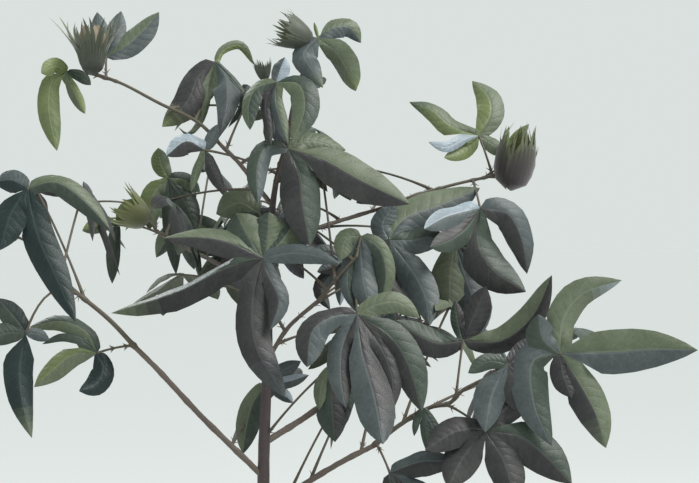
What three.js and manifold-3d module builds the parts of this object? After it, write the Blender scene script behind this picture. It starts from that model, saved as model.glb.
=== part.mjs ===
// A cotton plant: a shrub about 1 m tall, rooted in level ground, with deeply lobed leaves and flower buds.
// Millimetres, +Z up. Seen from the front, +X is to the right and +Y is away from the viewer.
// The origin is on the ground, in the middle of the flat cut under the main stem.
import * as THREE from "three";
import { mergeVertices } from "three/addons/utils/BufferGeometryUtils.js";
import Module from "manifold-3d";

const wasm = await Module();
wasm.setup();

const up = new THREE.Vector3(0, 0, 1);
const clearance = 0.3;

// The front view that the upper crown's places are read from: how high above the ground the lower edge of
// that view cuts the stem, and the eye, level with the middle of the crown.
const viewFoot = 690;
const eye = new THREE.Vector3(54, -1262, viewFoot + 155);

// The main stem. Its radius shrinks from foot to tip by a power of the height left, and flares at the foot.
const stem = {
  lowerCourse: [[0, 0, 0], [0, 0, 50], [-5, 4, 240], [5, -4, 480]],
  upperCourse: [[-1, 0, 0], [2, 97, 0], [1, 142, 0], [4, 172, 0], [8, 200, 0], [15, 224, 0]],
  footRadius: 9.8, tipRadius: 1.3, taper: 0.85, flare: 5, flareHeight: 20, sides: 9, steps: 22,
};

// How a leaf is cut: the angles of its lobes from the middle one, and their lengths as shares of that one's.
// The other sizes are shares of a lobe's own length; arch is how far its middle stands above the line to its
// tip, and spread the share of the way to the next lobe's middle line that its rim may take.
const leaf = {
  angles: [-110, -54, 0, 54, 110], lengths: [0.62, 0.86, 1, 0.86, 0.62],
  halfWidth: 0.18, deepestSinus: 0.4, heel: 0.05, fold: 0.25, arch: 0.07, spread: 0.46,
  thickness: 0.02, thinnest: 1.1,
};

// A fine leaf has two stations along each lobe, where its width is set. A coarse one has none, and wider
// sinuses.
const fineCut = { stations: [0.42, 0.74], sinusHalfWidth: 0.12 };
const coarseCut = { stations: [], sinusHalfWidth: 0.2 };

// A stalk bows up by a share of its length. A thing nearer to its shoot than the shortest stalk needs none.
const stalks = { radii: [1.2, 0.6], bow: 0.08, shortest: 2, sink: 1 };

// The boughs of the upper crown. A place is [right, up, back]: as it measures in the front view in the plane
// of the stem, up from the view's lower edge, and how far behind that plane it lies. A bough leaves the stem
// at a height above the same edge, and its shoot carries on from its tip. A leaf has the share of the shoot
// where its stalk leaves, its hub, and its lobes, each as the turn in the front view (0 right, 90 up), the
// length, and the lean towards the viewer. Turns that rise from lobe to lobe show the upper face. A bud has
// its base, its turn and lean in the same way, and its length.
const viewBoughs = [
  {
    name: "upper_left", height: 180, radii: [1.9, 1.6], shootRadii: [1.6, 1.2],
    course: [[-17, 208, 5], [-29, 220, 9]],
    shoot: [[-43, 234, 12], [-69, 247, 18], [-94, 260, 24], [-106, 264, 26]],
    leaves: [
      {
        at: 0.05, hub: [-30, 274, 34],
        lobes: [[180, 30, -50], [228, 58, 15], [269, 60, 10], [294, 48, -25], [5, 34, -45]],
      },
      {
        at: 0.99, hub: [-129, 264, 22],
        lobes: [[166, 28, -50], [218, 30, 45], [263, 52, 10], [300, 38, 45]],
      },
      { at: 0.97, hub: [-104, 280, 36], lobes: [[37, 47, 15], [72, 34, -20], [110, 32, -25]] },
    ],
    buds: [{ at: 0.9, base: [-112, 270, 25], turn: 97, lean: 10, size: 34 }],
  },
  {
    name: "upper_right", height: 154, radii: [2.0, 1.6], shootRadii: [1.6, 1.2],
    course: [[38, 167, 24], [77, 179, 36]],
    shoot: [[92, 185, 40], [123, 194, 46], [150, 200, 50]],
    leaves: [
      {
        at: 0.05, hub: [84, 161, 14],
        lobes: [[200, 40, 45], [268, 46, 30], [294, 62, 5], [345, 50, -25], [33, 64, -10]],
      },
      {
        at: 0.8, hub: [138, 176, 34],
        lobes: [[194, 38, 20], [232, 38, 32], [268, 58, 0], [303, 62, -5], [340, 40, -35]],
      },
      { at: 0.97, hub: [140, 228, 58], lobes: [[25, 20, -40], [84, 38, -15], [158, 52, 8], [220, 32, 35]] },
    ],
    buds: [{ at: 0.97, base: [151, 201, 50], turn: 42, lean: 15, size: 36 }],
  },
  {
    name: "middle_right", height: 80, radii: [1.9, 1.6], shootRadii: [1.6, 1.2],
    course: [[15, 101, -11], [34, 118, -18]],
    shoot: [[51, 138, -22], [60, 148, -22]],
    leaves: [
      { at: 0.05, hub: [24, 143, 12], lobes: [[145, 30, 0], [195, 40, -10], [250, 30, 20]] },
      { at: 0.98, hub: [60, 153, -18], lobes: [[215, 30, 40], [268, 44, 30], [302, 42, 0], [350, 26, 20]] },
      {
        at: 0.4, hub: [57, 110, -52],
        lobes: [[164, 24, 35], [228, 54, 20], [278, 88, 12], [310, 76, -12], [8, 40, -30]],
      },
    ],
    buds: [],
  },
  {
    name: "lower_left", height: 4, radii: [2.7, 2.1], shootRadii: [2.1, 1.3],
    course: [[-43, 39, -13], [-69, 72, -22], [-84, 87, -26]],
    shoot: [[-101, 106, -32], [-126, 126, -42], [-146, 147, -52], [-153, 162, -58]],
    leaves: [
      {
        at: 0.02, hub: [-112, 84, -30],
        lobes: [[138, 32, -30], [170, 38, 15], [209, 46, 15], [270, 34, 45], [325, 26, 30]],
      },
      {
        at: 0.45, hub: [-151, 96, -62],
        lobes: [[142, 52, 0], [205, 56, 20], [269, 68, 8], [325, 40, 40], [8, 30, -30]],
      },
      {
        at: 0.98, hub: [-155, 191, -66],
        lobes: [[205, 62, -15], [250, 66, 45], [291, 92, 10], [337, 56, -15]],
      },
    ],
    buds: [{ at: 0.9, base: [-160, 160, -50], turn: 170, lean: 20, size: 14 }],
  },
  {
    name: "lower_right", height: -18, radii: [2.9, 2.3], shootRadii: [2.3, 1.2],
    course: [[30, 2, -12], [52, 15, -17], [70, 24, -20]],
    shoot: [[88, 38, -23], [107, 49, -25], [120, 52, -27], [128, 60, -28], [143, 68, -30], [154, 76, -31]],
    leaves: [
      { at: 0.03, hub: [81, 5, -36], lobes: [[275, 40, 30], [325, 46, 30], [18, 42, 20]] },
      { at: 0.32, hub: [103, 48, -34], lobes: [[235, 18, 30], [268, 27, 0], [305, 16, 30]] },
      {
        at: 0.56, hub: [141, 35, -60],
        lobes: [[215, 46, 20], [262, 46, 30], [297, 66, 15], [327, 72, 0], [10, 44, -30]],
      },
      { at: 0.64, hub: [129, 94, -14], lobes: [[33, 76, 10], [78, 50, -8], [122, 46, -12], [168, 44, 15]] },
      { at: 0.93, hub: [155, 76, -48], lobes: [[192, 28, 20], [253, 48, 12], [300, 38, 40]] },
      {
        at: 0.99, hub: [190, 76, -38],
        lobes: [[264, 60, 30], [305, 64, 15], [7, 93, 5], [52, 70, -10], [100, 40, -30]],
      },
    ],
    buds: [],
  },
  {
    name: "back_left", height: 122, radii: [1.9, 1.5], shootRadii: [1.5, 1.1],
    course: [[-22, 138, 40], [-50, 152, 80]],
    shoot: [[-62, 159, 98], [-72, 166, 112], [-70, 182, 122]],
    leaves: [
      {
        at: 0.98, hub: [-63, 196, 118],
        lobes: [[121, 26, 30], [205, 34, 40], [277, 58, 0], [325, 36, 20]],
      },
      { at: 0.5, hub: [-97, 169, 112], lobes: [[150, 30, 20], [212, 34, 30], [263, 42, 0], [315, 30, 10]] },
      { at: 0.3, hub: [-50, 172, 142], lobes: [[230, 34, -30], [281, 42, -20], [332, 34, -35]] },
    ],
    buds: [{ at: 0.6, base: [-78, 165, 108], turn: 174, lean: 10, size: 28 }],
  },
];

// Leaves whose stalks leave the main stem itself, read off the same view, each with the height of its stalk.
const viewStemLeaves = [
  {
    name: "right_of_tip", height: 192, hub: [14, 217, -22],
    lobes: [[244, 46, 35], [280, 68, 20], [334, 90, 8], [15, 44, -40]],
  },
  {
    name: "left_of_tip", height: 201, hub: [-41, 216, -6],
    lobes: [[200, 30, 20], [252, 38, 20], [295, 34, 10], [45, 24, 40]],
  },
  {
    name: "front", height: 142, hub: [-2, 146, -34],
    lobes: [[165, 68, -18], [200, 106, 12], [270, 86, 22], [306, 58, 56], [357, 50, 25]],
  },
  {
    name: "round_left", height: 160, hub: [-4, 178, 12],
    lobes: [[128, 32, -20], [170, 40, 35], [215, 34, 40]],
  },
  {
    name: "low_left", height: 50, hub: [1, 66, 15],
    lobes: [[248, 50, -10], [300, 34, -30], [345, 30, -35]],
  },
  {
    name: "low_right", height: 29, hub: [43, 76, -16],
    lobes: [[225, 34, 35], [270, 52, 10], [314, 34, 35]],
  },
];

// The tip of the plant, which carries on from the tip of the main stem.
const crownTip = {
  shootRadii: [1.5, 1.0],
  shoot: [[17, 240, 0], [23, 263, 2], [33, 286, 2]],
  leaves: [
    {
      at: 0.05, hub: [7, 261, -18],
      lobes: [[241, 38, 30], [279, 46, 35], [305, 48, 15], [12, 30, -40], [75, 26, -50]],
    },
    { at: 0.99, hub: [37, 290, 0], lobes: [[235, 24, 40], [272, 36, 25], [307, 44, 20], [352, 38, -30]] },
  ],
  buds: [
    { at: 0.97, base: [32, 286, 4], turn: 158, lean: 10, size: 30 },
    { at: 0.5, base: [0, 265, 4], turn: 100, lean: 0, size: 13 },
  ],
};

// Boughs that grow by rule, each with a mass at its tip that keeps to a ball of space of its own. They wind
// down the stem by the golden angle and get longer. One more stands behind the upper crown.
const goldenAngle = 137.5;
const lower = {
  count: 8, topHeight: 512, spacing: 48, firstTurn: 253, rise: 14,
  bare: [82, 138], radii: [[3.0, 2.2], [4.0, 2.8]], space: [110, 130], leafSize: [84, 96], firstSeed: 40,
};
const behind = {
  name: "behind", height: viewFoot + 26, turn: 46, rise: 26,
  bare: 112, radii: [2.2, 1.7], space: 84, leafSize: 56, seed: 11,
};
const boughSides = 6;
const boughSag = 0.04;

// How a mass grows: a zigzag shoot through most of its space, two side twigs, and leaves at shares of the
// length of the shoot (limb 0) and of the twigs (limbs 1 and 2). What is a pair is the least and the most.
const growth = {
  internodes: 4, zigzag: 16, lift: 0.14, run: 0.7, shootTip: 1.2,
  twigFrom: [0.22, 0.5], twigSwing: [40, 62], twigRise: [22, 48], twigReach: 0.8, twigSag: 0.06,
  twigRadii: [1.5, 1.1],
  leafPlaces: [[0, 0.12], [0, 0.45], [0, 0.75], [0, 1], [1, 0.5], [1, 1], [2, 0.5], [2, 1], [0, 0.3]],
  stalk: [0.4, 0.85], swing: [20, 130], rise: [-35, 65], dip: [8, 62], turnOff: 35, sag: 0.3, smallest: 0.7,
  apart: 0.2, tries: 40, budSize: 26, budLift: 0.6,
};
const lowerStemLeaves = { count: 8, above: 118, rise: 25, dip: 20, stalk: 46, size: 60 };

// A bud's sizes are shares of its length. One side in three of its rim is the tip of a tooth.
const bud = {
  sides: 9, girth: 0.4, tooth: 0.14, notch: 0.07, profile: [[0.8, 0.16], [1, 0.5], [0.66, 0.86]],
  throat: [[0.3, 0.7], [0, 0.66]],
};

const radians = THREE.MathUtils.degToRad;
const between = THREE.MathUtils.lerp;
const vector = (place) => new THREE.Vector3(...place);

// Numbers from 0 to 1 that are the same at every run.
function seeded(seed) {
  let state = seed * 7919 + 17;
  return () => {
    state = (state * 1664525 + 1013904223) % 4294967296;
    return state / 4294967296;
  };
}

// How many times larger things are, in the plane this far back, than they measure in the front view.
const widening = (back) => (back - eye.y) / -eye.y;

// A place that was read off the front view, taken back along the line of sight.
function seen([right, height, back]) {
  const reach = widening(back);
  const rise = viewFoot + height - eye.z;
  return new THREE.Vector3(eye.x + (right - eye.x) * reach, back, eye.z + rise * reach);
}

// The direction with a turn in the front view and a lean towards the viewer.
function facing(turn, lean) {
  const level = Math.cos(radians(lean));
  const across = Math.cos(radians(turn)) * level;
  return new THREE.Vector3(across, -Math.sin(radians(lean)), Math.sin(radians(turn)) * level);
}

// The direction with a turn about the stem, seen from above, and a rise above level.
function outward(turn, rise) {
  const level = Math.cos(radians(rise));
  const across = Math.cos(radians(turn)) * level;
  return new THREE.Vector3(across, Math.sin(radians(turn)) * level, Math.sin(radians(rise)));
}

const stemCourse = [...stem.lowerCourse.map(vector), ...stem.upperCourse.map(seen)];
const stemCurve = new THREE.CatmullRomCurve3(stemCourse);
const stemTop = stemCurve.points.at(-1).z;

function stemRadius(height) {
  const shaft = between(stem.tipRadius, stem.footRadius, Math.max(1 - height / stemTop, 0) ** stem.taper);
  return shaft + stem.flare * Math.exp(-height / stem.flareHeight);
}

// The point of the stem's axis at a height.
const halvings = 24;
function stemAxis(height) {
  let low = 0;
  let high = 1;
  for (let i = 0; i < halvings; i++) {
    const middle = (low + high) / 2;
    if (stemCurve.getPoint(middle).z < height) low = middle;
    else high = middle;
  }
  return stemCurve.getPoint(low);
}

// A solid from a closed surface, whose points that meet within a hair are made one.
const hair = 1e-4;
function solidOf(geometry) {
  geometry.deleteAttribute("normal");
  geometry.deleteAttribute("uv");
  const merged = mergeVertices(geometry, hair);
  const mesh = new wasm.Mesh({
    numProp: 3,
    vertProperties: merged.attributes.position.array,
    triVerts: new Uint32Array(merged.index.array),
  });
  return new wasm.Manifold(mesh);
}

// A tapering limb: a closed cylinder whose rings are laid along a curve.
function limb(curve, radiusAt, sides, steps) {
  const geometry = new THREE.CylinderGeometry(1, 1, 1, sides, steps);
  const frames = curve.computeFrenetFrames(steps, false);
  const places = geometry.attributes.position;
  for (let i = 0; i < places.count; i++) {
    const ring = Math.round((places.getY(i) + 0.5) * steps);
    const centre = curve.getPointAt(ring / steps);
    const radius = radiusAt(ring / steps, centre);
    centre.addScaledVector(frames.normals[ring], places.getX(i) * radius);
    centre.addScaledVector(frames.binormals[ring], -places.getZ(i) * radius);
    places.setXYZ(i, centre.x, centre.y, centre.z);
  }
  return solidOf(geometry);
}

const tapering = ([from, to]) => (share) => between(from, to, share);

// The lobes of a leaf, each as its way and its length, from its middle way and what its face turns to.
function palmate(along, faceHint, size, sag) {
  const across = faceHint.clone().cross(along).normalize();
  return leaf.angles.map((angle, i) => {
    const way = along.clone().multiplyScalar(Math.cos(radians(angle)));
    way.addScaledVector(across, Math.sin(radians(angle))).addScaledVector(up, -sag).normalize();
    return { way, length: size * leaf.lengths[i] };
  });
}

// The middle line of a lobe at some shares of its length, arching over the upper face.
function lobeLine(hub, { way, length }, normal, shares) {
  const across = normal.clone().cross(way).normalize();
  const above = way.clone().cross(across);
  return shares.map((share) => {
    const place = hub.clone().addScaledVector(way, length * share);
    place.addScaledVector(above, length * leaf.arch * 4 * share * (1 - share));
    const face = above.clone().addScaledVector(way, -leaf.arch * 4 * (1 - 2 * share)).normalize();
    return { place, across, face };
  });
}

// Half the width of a lobe along its length, as a share of its half width at the widest.
const lobeWidth = (share) => Math.sin(Math.PI * share ** 0.88) ** 0.8;

// A leaf's blade: both faces share the leaf's outline and stand apart along the middle of each lobe.
function blade(hub, lobes, { stations, sinusHalfWidth }) {
  const normal = new THREE.Vector3();
  for (let i = 1; i < lobes.length; i++) normal.add(lobes[i - 1].way.clone().cross(lobes[i].way));
  normal.normalize();
  const longest = Math.max(...lobes.map((lobe) => lobe.length));
  const half = Math.max(longest * leaf.thickness, leaf.thinnest) / 2;
  const places = [];
  const triangles = [];
  const add = (place) => {
    places.push(place.x, place.y, place.z);
    return places.length / 3 - 1;
  };
  const pair = (place, face) => [half, -half].map((offset) => (
    add(place.clone().addScaledVector(face, offset))
  ));
  const hubs = pair(hub, normal);
  const heelWay = lobes[Math.floor(lobes.length / 2)].way.clone().projectOnPlane(normal).normalize();
  const heel = add(hub.clone().addScaledVector(heelWay, -longest * leaf.heel));
  const sinusAfter = lobes.slice(1).map((lobe, i) => {
    const halfAngle = lobes[i].way.angleTo(lobe.way) / 2;
    const shorter = Math.min(lobes[i].length, lobe.length);
    const reach = shorter * Math.min(sinusHalfWidth / Math.sin(halfAngle), leaf.deepestSinus);
    return add(hub.clone().addScaledVector(lobes[i].way.clone().add(lobe.way).normalize(), reach));
  });
  const lines = lobes.map((lobe) => lobeLine(hub, lobe, normal, stations));
  lobes.forEach((lobe, i) => {
    const tip = add(hub.clone().addScaledVector(lobe.way, lobe.length));
    const ridges = lines[i].map(({ place, face }) => pair(place, face));
    for (const side of [-1, 1]) {
      const sinus = (side < 0 ? sinusAfter[i - 1] : sinusAfter[i]) ?? heel;
      const beside = lines[i + side];
      const rim = lines[i].map(({ place, across, face }, j) => {
        const room = beside ? leaf.spread * place.distanceTo(beside[j].place) : Infinity;
        const reach = Math.min(lobe.length * leaf.halfWidth * lobeWidth(stations[j]), room);
        const level = place.clone().addScaledVector(across, side * reach);
        return add(level.addScaledVector(face, reach * leaf.fold));
      });
      for (const under of [0, 1]) {
        const middle = [hubs[under], ...ridges.map((ridge) => ridge[under])];
        const outline = [sinus, ...rim];
        const flip = side < 0 !== under > 0;
        const face = (a, b, c) => triangles.push(...(flip ? [c, b, a] : [a, b, c]));
        for (let j = 0; j < rim.length; j++) {
          face(middle[j], middle[j + 1], outline[j + 1]);
          face(middle[j], outline[j + 1], outline[j]);
        }
        face(middle.at(-1), tip, outline.at(-1));
      }
    }
  });
  const geometry = new THREE.BufferGeometry();
  geometry.setAttribute("position", new THREE.Float32BufferAttribute(places, 3));
  geometry.setIndex(triangles);
  return solidOf(geometry);
}

// A flower bud in its fringed bracts: a turned cup whose rim is cut into teeth.
function budSolid(base, way, size) {
  const profile = [[0, 0], ...bud.profile, ...bud.throat].map(([radius, height]) => (
    new THREE.Vector2(radius * size * bud.girth, height * size)
  ));
  const geometry = new THREE.LatheGeometry(profile, bud.sides);
  const places = geometry.attributes.position;
  const rim = profile[bud.profile.length];
  for (let i = 0; i < places.count; i++) {
    const onRim = Math.abs(places.getY(i) - rim.y) < hair;
    const side = Math.round((Math.atan2(places.getX(i), places.getZ(i)) / (2 * Math.PI)) * bud.sides);
    if (onRim) places.setY(i, rim.y + (side % 3 ? -bud.notch : bud.tooth) * size);
  }
  geometry.applyQuaternion(new THREE.Quaternion().setFromUnitVectors(new THREE.Vector3(0, 1, 0), way));
  geometry.translate(base.x, base.y, base.z);
  return solidOf(geometry);
}

// A stalk that bows up a little on its way from a shoot to the hub of a leaf or the base of a bud.
function stalk(from, to) {
  const reach = from.distanceTo(to);
  const bow = from.clone().lerp(to, 0.5).addScaledVector(up, reach * stalks.bow);
  return limb(new THREE.QuadraticBezierCurve3(from, bow, to), tapering(stalks.radii), 3, 2);
}

// One body out of several: hollows that the join seals are filled, and loose scraps are dropped.
function oneBody(solids) {
  const joined = solids.reduce((sum, solid) => sum.add(solid));
  const bodies = joined.decompose().sort((a, b) => b.volume() - a.volume());
  return bodies[0];
}

const viewLobes = (lobes, back) => lobes.map(([turn, length, lean]) => (
  { way: facing(turn, lean), length: length * widening(back) }
));

// A mass of leaves as plain facts: its shoot, its leaves, each on a stalk from a place, and its buds.
function viewMass({ leaves, buds }, shoot) {
  return {
    limbs: [shoot],
    leaves: leaves.map(({ at, hub, lobes }) => (
      { from: shoot.getPointAt(at), hub: seen(hub), lobes: viewLobes(lobes, hub[2]) }
    )),
    buds: buds.map(({ at, base, turn, lean, size }) => ({
      from: shoot.getPointAt(at), base: seen(base), way: facing(turn, lean), size: size * widening(base[2]),
    })),
  };
}

// A mass that grows by rule from a bough's tip through its ball of space. A leaf that would leave the ball,
// or crowd one before it, is tried again elsewhere, and then skipped.
const marksAlongLobe = [0.5, 1];
function grownMass({ seed, space, leafSize }, tip, heading) {
  const random = seeded(seed);
  const pick = ([low, high]) => between(low, high, random());
  const centre = tip.clone().addScaledVector(heading, space);
  const step = (2 * space * growth.run) / growth.internodes;
  const knots = [tip.clone()];
  for (let i = 0; i < growth.internodes; i++) {
    const way = heading.clone().applyAxisAngle(up, radians(i % 2 ? growth.zigzag : -growth.zigzag));
    way.addScaledVector(up, growth.lift * (i - 1)).normalize();
    knots.push(knots.at(-1).clone().addScaledVector(way, step));
  }
  const headingTurn = THREE.MathUtils.radToDeg(Math.atan2(heading.y, heading.x));
  const limbs = [new THREE.CatmullRomCurve3(knots)];
  growth.twigFrom.forEach((at, i) => {
    const from = limbs[0].getPointAt(at);
    const way = outward(headingTurn + pick(growth.twigSwing) * (i % 2 ? 1 : -1), pick(growth.twigRise));
    const end = from.clone().addScaledVector(way, space * growth.twigReach);
    const middle = from.clone().lerp(end, 0.5).addScaledVector(up, -space * growth.twigSag);
    limbs.push(new THREE.QuadraticBezierCurve3(from, middle, end));
  });
  const leaves = [];
  const taken = [];
  growth.leafPlaces.forEach(([carrier, at], k) => {
    const from = limbs[carrier].getPointAt(at);
    const size = leafSize * between(1, growth.smallest, at);
    for (let attempt = 0; attempt < growth.tries; attempt++) {
      const turn = headingTurn + pick(growth.swing) * (k % 2 ? 1 : -1);
      const rise = pick(growth.rise);
      const reach = size * pick(growth.stalk);
      const turnOff = pick([-growth.turnOff, growth.turnOff]);
      const dip = pick(growth.dip);
      const hub = from.clone().addScaledVector(outward(turn, rise), reach);
      const lobes = palmate(outward(turn + turnOff, -dip), up, size, growth.sag);
      const marks = [hub, ...lobes.flatMap(({ way, length }) => marksAlongLobe.map((share) => (
        hub.clone().addScaledVector(way, length * share)
      )))];
      const nearest = growth.apart * leafSize;
      const inside = marks.every((mark) => mark.distanceTo(centre) < space);
      const apart = marks.every((mark) => taken.every((other) => other.distanceTo(mark) > nearest));
      if (inside && apart) {
        leaves.push({ from, hub, lobes });
        taken.push(...marks);
        break;
      }
    }
  });
  const lastWay = knots.at(-1).clone().sub(knots.at(-2)).normalize();
  const budWay = lastWay.addScaledVector(up, growth.budLift).normalize();
  const buds = [{ from: knots.at(-2), base: knots.at(-1), way: budWay, size: growth.budSize }];
  return { limbs, leaves, buds };
}

// The solid of a mass, cut clear of the limb that it grows on.
function massSolid({ limbs, leaves, buds }, shootRadii, carrierRoom, cut) {
  const solids = limbs.map((line, i) => (
    i ? limb(line, tapering(growth.twigRadii), 3, 3) : limb(line, tapering(shootRadii), 4, 5)
  ));
  for (const { from, hub, lobes } of leaves) solids.push(stalk(from, hub), blade(hub, lobes, cut));
  for (const { from, base, way, size } of buds) {
    const end = base.clone().addScaledVector(way, stalks.sink);
    if (from.distanceTo(base) > stalks.shortest) solids.push(stalk(from, end));
    solids.push(budSolid(base, way, size));
  }
  return oneBody([oneBody(solids).subtract(carrierRoom)]);
}

const materials = {
  stem: new THREE.MeshStandardMaterial({ color: "#5d4a4c", roughness: 0.75, metalness: 0 }),
  bough: new THREE.MeshStandardMaterial({ color: "#6b5058", roughness: 0.65, metalness: 0 }),
  foliage: new THREE.MeshStandardMaterial({ color: "#46593f", roughness: 0.55, metalness: 0 }),
};

const plant = new THREE.Group();

function addNode(name, solid, material) {
  const { vertProperties, triVerts } = solid.getMesh();
  const geometry = new THREE.BufferGeometry();
  geometry.setAttribute("position", new THREE.Float32BufferAttribute(vertProperties, 3));
  geometry.setIndex(Array.from(triVerts));
  geometry.computeVertexNormals();
  const mesh = new THREE.Mesh(geometry, material.clone());
  mesh.name = name;
  plant.add(mesh);
}

// The main stem, and the same a little thicker, which keeps what leaves it clear of it.
const stemGrownBy = (margin) => (
  limb(stemCurve, (share, centre) => stemRadius(centre.z) + margin, stem.sides, stem.steps)
);
const stemRoom = stemGrownBy(clearance);
addNode("stem", stemGrownBy(0), materials.stem);

// A limb that starts inside the stem, cut clear of it.
const fromStem = (curve, radii, steps) => (
  oneBody([limb(curve, tapering(radii), boughSides, steps).subtract(stemRoom)])
);

// The space that a bough takes up with its clearance, which reaches as far past its tip.
function boughRoom(course, radii, steps) {
  const tip = course.points.at(-1).clone().addScaledVector(course.getTangent(1), clearance);
  const longer = new THREE.CatmullRomCurve3([...course.points.slice(0, -1), tip]);
  return limb(longer, tapering(radii.map((radius) => radius + clearance)), boughSides, steps);
}

for (const bough of viewBoughs) {
  const course = new THREE.CatmullRomCurve3([stemAxis(viewFoot + bough.height), ...bough.course.map(seen)]);
  addNode(`bough_${bough.name}`, fromStem(course, bough.radii, 7), materials.bough);
  const mass = viewMass(bough, new THREE.CatmullRomCurve3([course.points.at(-1), ...bough.shoot.map(seen)]));
  const room = boughRoom(course, bough.radii, 7);
  addNode(`foliage_${bough.name}`, massSolid(mass, bough.shootRadii, room, fineCut), materials.foliage);
}

for (const { name, height, hub, lobes } of viewStemLeaves) {
  const single = { from: stemAxis(viewFoot + height), hub: seen(hub), lobes: viewLobes(lobes, hub[2]) };
  const mass = { limbs: [], leaves: [single], buds: [] };
  addNode(`leaf_${name}`, massSolid(mass, null, stemRoom, fineCut), materials.foliage);
}

const crownShoot = new THREE.CatmullRomCurve3([stemCurve.points.at(-1), ...crownTip.shoot.map(seen)]);
const crown = viewMass(crownTip, crownShoot);
const tipRoom = boughRoom(stemCurve, [stem.footRadius, stem.tipRadius], stem.steps);
addNode("foliage_tip", massSolid(crown, crownTip.shootRadii, tipRoom, fineCut), materials.foliage);

// Boughs that grow by rule, with the mass at each one's tip.
function addGrownBough(spec) {
  const heading = outward(spec.turn, spec.rise);
  const foot = stemAxis(spec.height);
  const tip = foot.clone().addScaledVector(heading, spec.bare);
  const middle = foot.clone().lerp(tip, 0.5).addScaledVector(up, -spec.bare * boughSag);
  const course = new THREE.CatmullRomCurve3([foot, middle, tip]);
  addNode(`bough_${spec.name}`, fromStem(course, spec.radii, 4), materials.bough);
  const mass = grownMass(spec, tip, heading);
  const shootRadii = [spec.radii[1], growth.shootTip];
  const solid = massSolid(mass, shootRadii, boughRoom(course, spec.radii, 4), coarseCut);
  addNode(`foliage_${spec.name}`, solid, materials.foliage);
}

addGrownBough(behind);
for (let i = 0; i < lower.count; i++) {
  const down = i / (lower.count - 1);
  addGrownBough({
    name: `lower_${i + 1}`,
    height: lower.topHeight - lower.spacing * i,
    turn: lower.firstTurn + goldenAngle * i,
    rise: lower.rise,
    bare: between(...lower.bare, down),
    radii: [0, 1].map((end) => between(lower.radii[0][end], lower.radii[1][end], down)),
    space: between(...lower.space, down),
    leafSize: between(...lower.leafSize, down),
    seed: lower.firstSeed + i,
  });
}

// Leaves on the lower stem, each half way down between two boughs and on the side that both leave free.
for (let i = 0; i < lowerStemLeaves.count; i++) {
  const turn = lower.firstTurn + goldenAngle * (i - 1.5) + 180;
  const from = stemAxis(lower.topHeight + lowerStemLeaves.above - lower.spacing * i);
  const hub = from.clone().addScaledVector(outward(turn, lowerStemLeaves.rise), lowerStemLeaves.stalk);
  const lobes = palmate(outward(turn, -lowerStemLeaves.dip), up, lowerStemLeaves.size, growth.sag);
  const mass = { limbs: [], leaves: [{ from, hub, lobes }], buds: [] };
  addNode(`leaf_stem_${i + 1}`, massSolid(mass, null, stemRoom, coarseCut), materials.foliage);
}

export default plant;
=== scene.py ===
import math

import bpy
import numpy as np
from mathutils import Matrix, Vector, noise


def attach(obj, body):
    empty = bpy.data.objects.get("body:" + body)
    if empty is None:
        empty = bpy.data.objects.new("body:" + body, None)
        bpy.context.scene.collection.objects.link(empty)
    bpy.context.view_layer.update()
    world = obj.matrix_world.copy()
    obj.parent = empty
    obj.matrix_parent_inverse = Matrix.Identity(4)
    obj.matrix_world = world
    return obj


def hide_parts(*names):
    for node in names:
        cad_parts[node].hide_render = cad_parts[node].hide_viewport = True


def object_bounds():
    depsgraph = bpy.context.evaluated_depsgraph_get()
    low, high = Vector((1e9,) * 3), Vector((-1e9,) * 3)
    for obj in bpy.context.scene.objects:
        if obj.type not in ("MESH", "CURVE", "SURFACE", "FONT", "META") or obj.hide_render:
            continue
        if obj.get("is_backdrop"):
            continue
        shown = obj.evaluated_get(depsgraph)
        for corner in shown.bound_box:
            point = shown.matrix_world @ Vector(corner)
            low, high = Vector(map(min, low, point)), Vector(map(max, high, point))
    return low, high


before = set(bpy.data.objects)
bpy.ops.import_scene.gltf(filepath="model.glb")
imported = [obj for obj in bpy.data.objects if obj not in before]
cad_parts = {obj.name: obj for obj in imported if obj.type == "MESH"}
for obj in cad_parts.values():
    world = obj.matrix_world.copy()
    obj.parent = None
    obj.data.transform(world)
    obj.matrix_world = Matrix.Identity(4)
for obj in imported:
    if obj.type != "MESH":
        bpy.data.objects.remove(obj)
cadLow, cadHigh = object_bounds()
print("frame loaded:", len(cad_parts), "nodes")

mm = 0.001
up = np.array([0.0, 0.0, 1.0])
radians = math.radians

# Camera: level with the middle of the upper crown, as far off as the photo's perspective says
cameraView = {"place": (0.0549, -1.262, 0.847), "lens": 100, "sensor": 36}


def makeCamera():
    bpy.ops.object.camera_add(location=cameraView["place"], rotation=(radians(90), 0, 0))
    camera = bpy.context.object
    camera.name = "camera"
    camera.data.lens = cameraView["lens"]
    camera.data.sensor_width = cameraView["sensor"]
    bpy.context.scene.camera = camera


makeCamera()


def unit(way):
    return way / np.linalg.norm(way)


def mixed(a, b, share):
    return a + (b - a) * share


draws = {"spread": 7919, "first": 17, "factor": 1664525, "step": 1013904223, "period": 4294967296}


def seeded(seed):  # the same row of numbers from 0 to 1 at every run
    state = seed * draws["spread"] + draws["first"]
    while True:
        state = (state * draws["factor"] + draws["step"]) % draws["period"]
        yield state / draws["period"]


def spun(way, angle):  # turned about the upright axis
    c, s = math.cos(radians(angle)), math.sin(radians(angle))
    return np.array([way[0] * c - way[1] * s, way[0] * s + way[1] * c, way[2]])


curveSamples = 201


def byLength(placeAt):  # the curve's places by share of its length
    ts = np.linspace(0, 1, curveSamples)
    steps = np.linalg.norm(np.diff(placeAt(ts), axis=0), axis=1)
    lengths = np.concatenate([[0], np.cumsum(steps)])
    return lambda share: placeAt(np.interp(np.asarray(share, float) * lengths[-1], lengths, ts))


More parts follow.
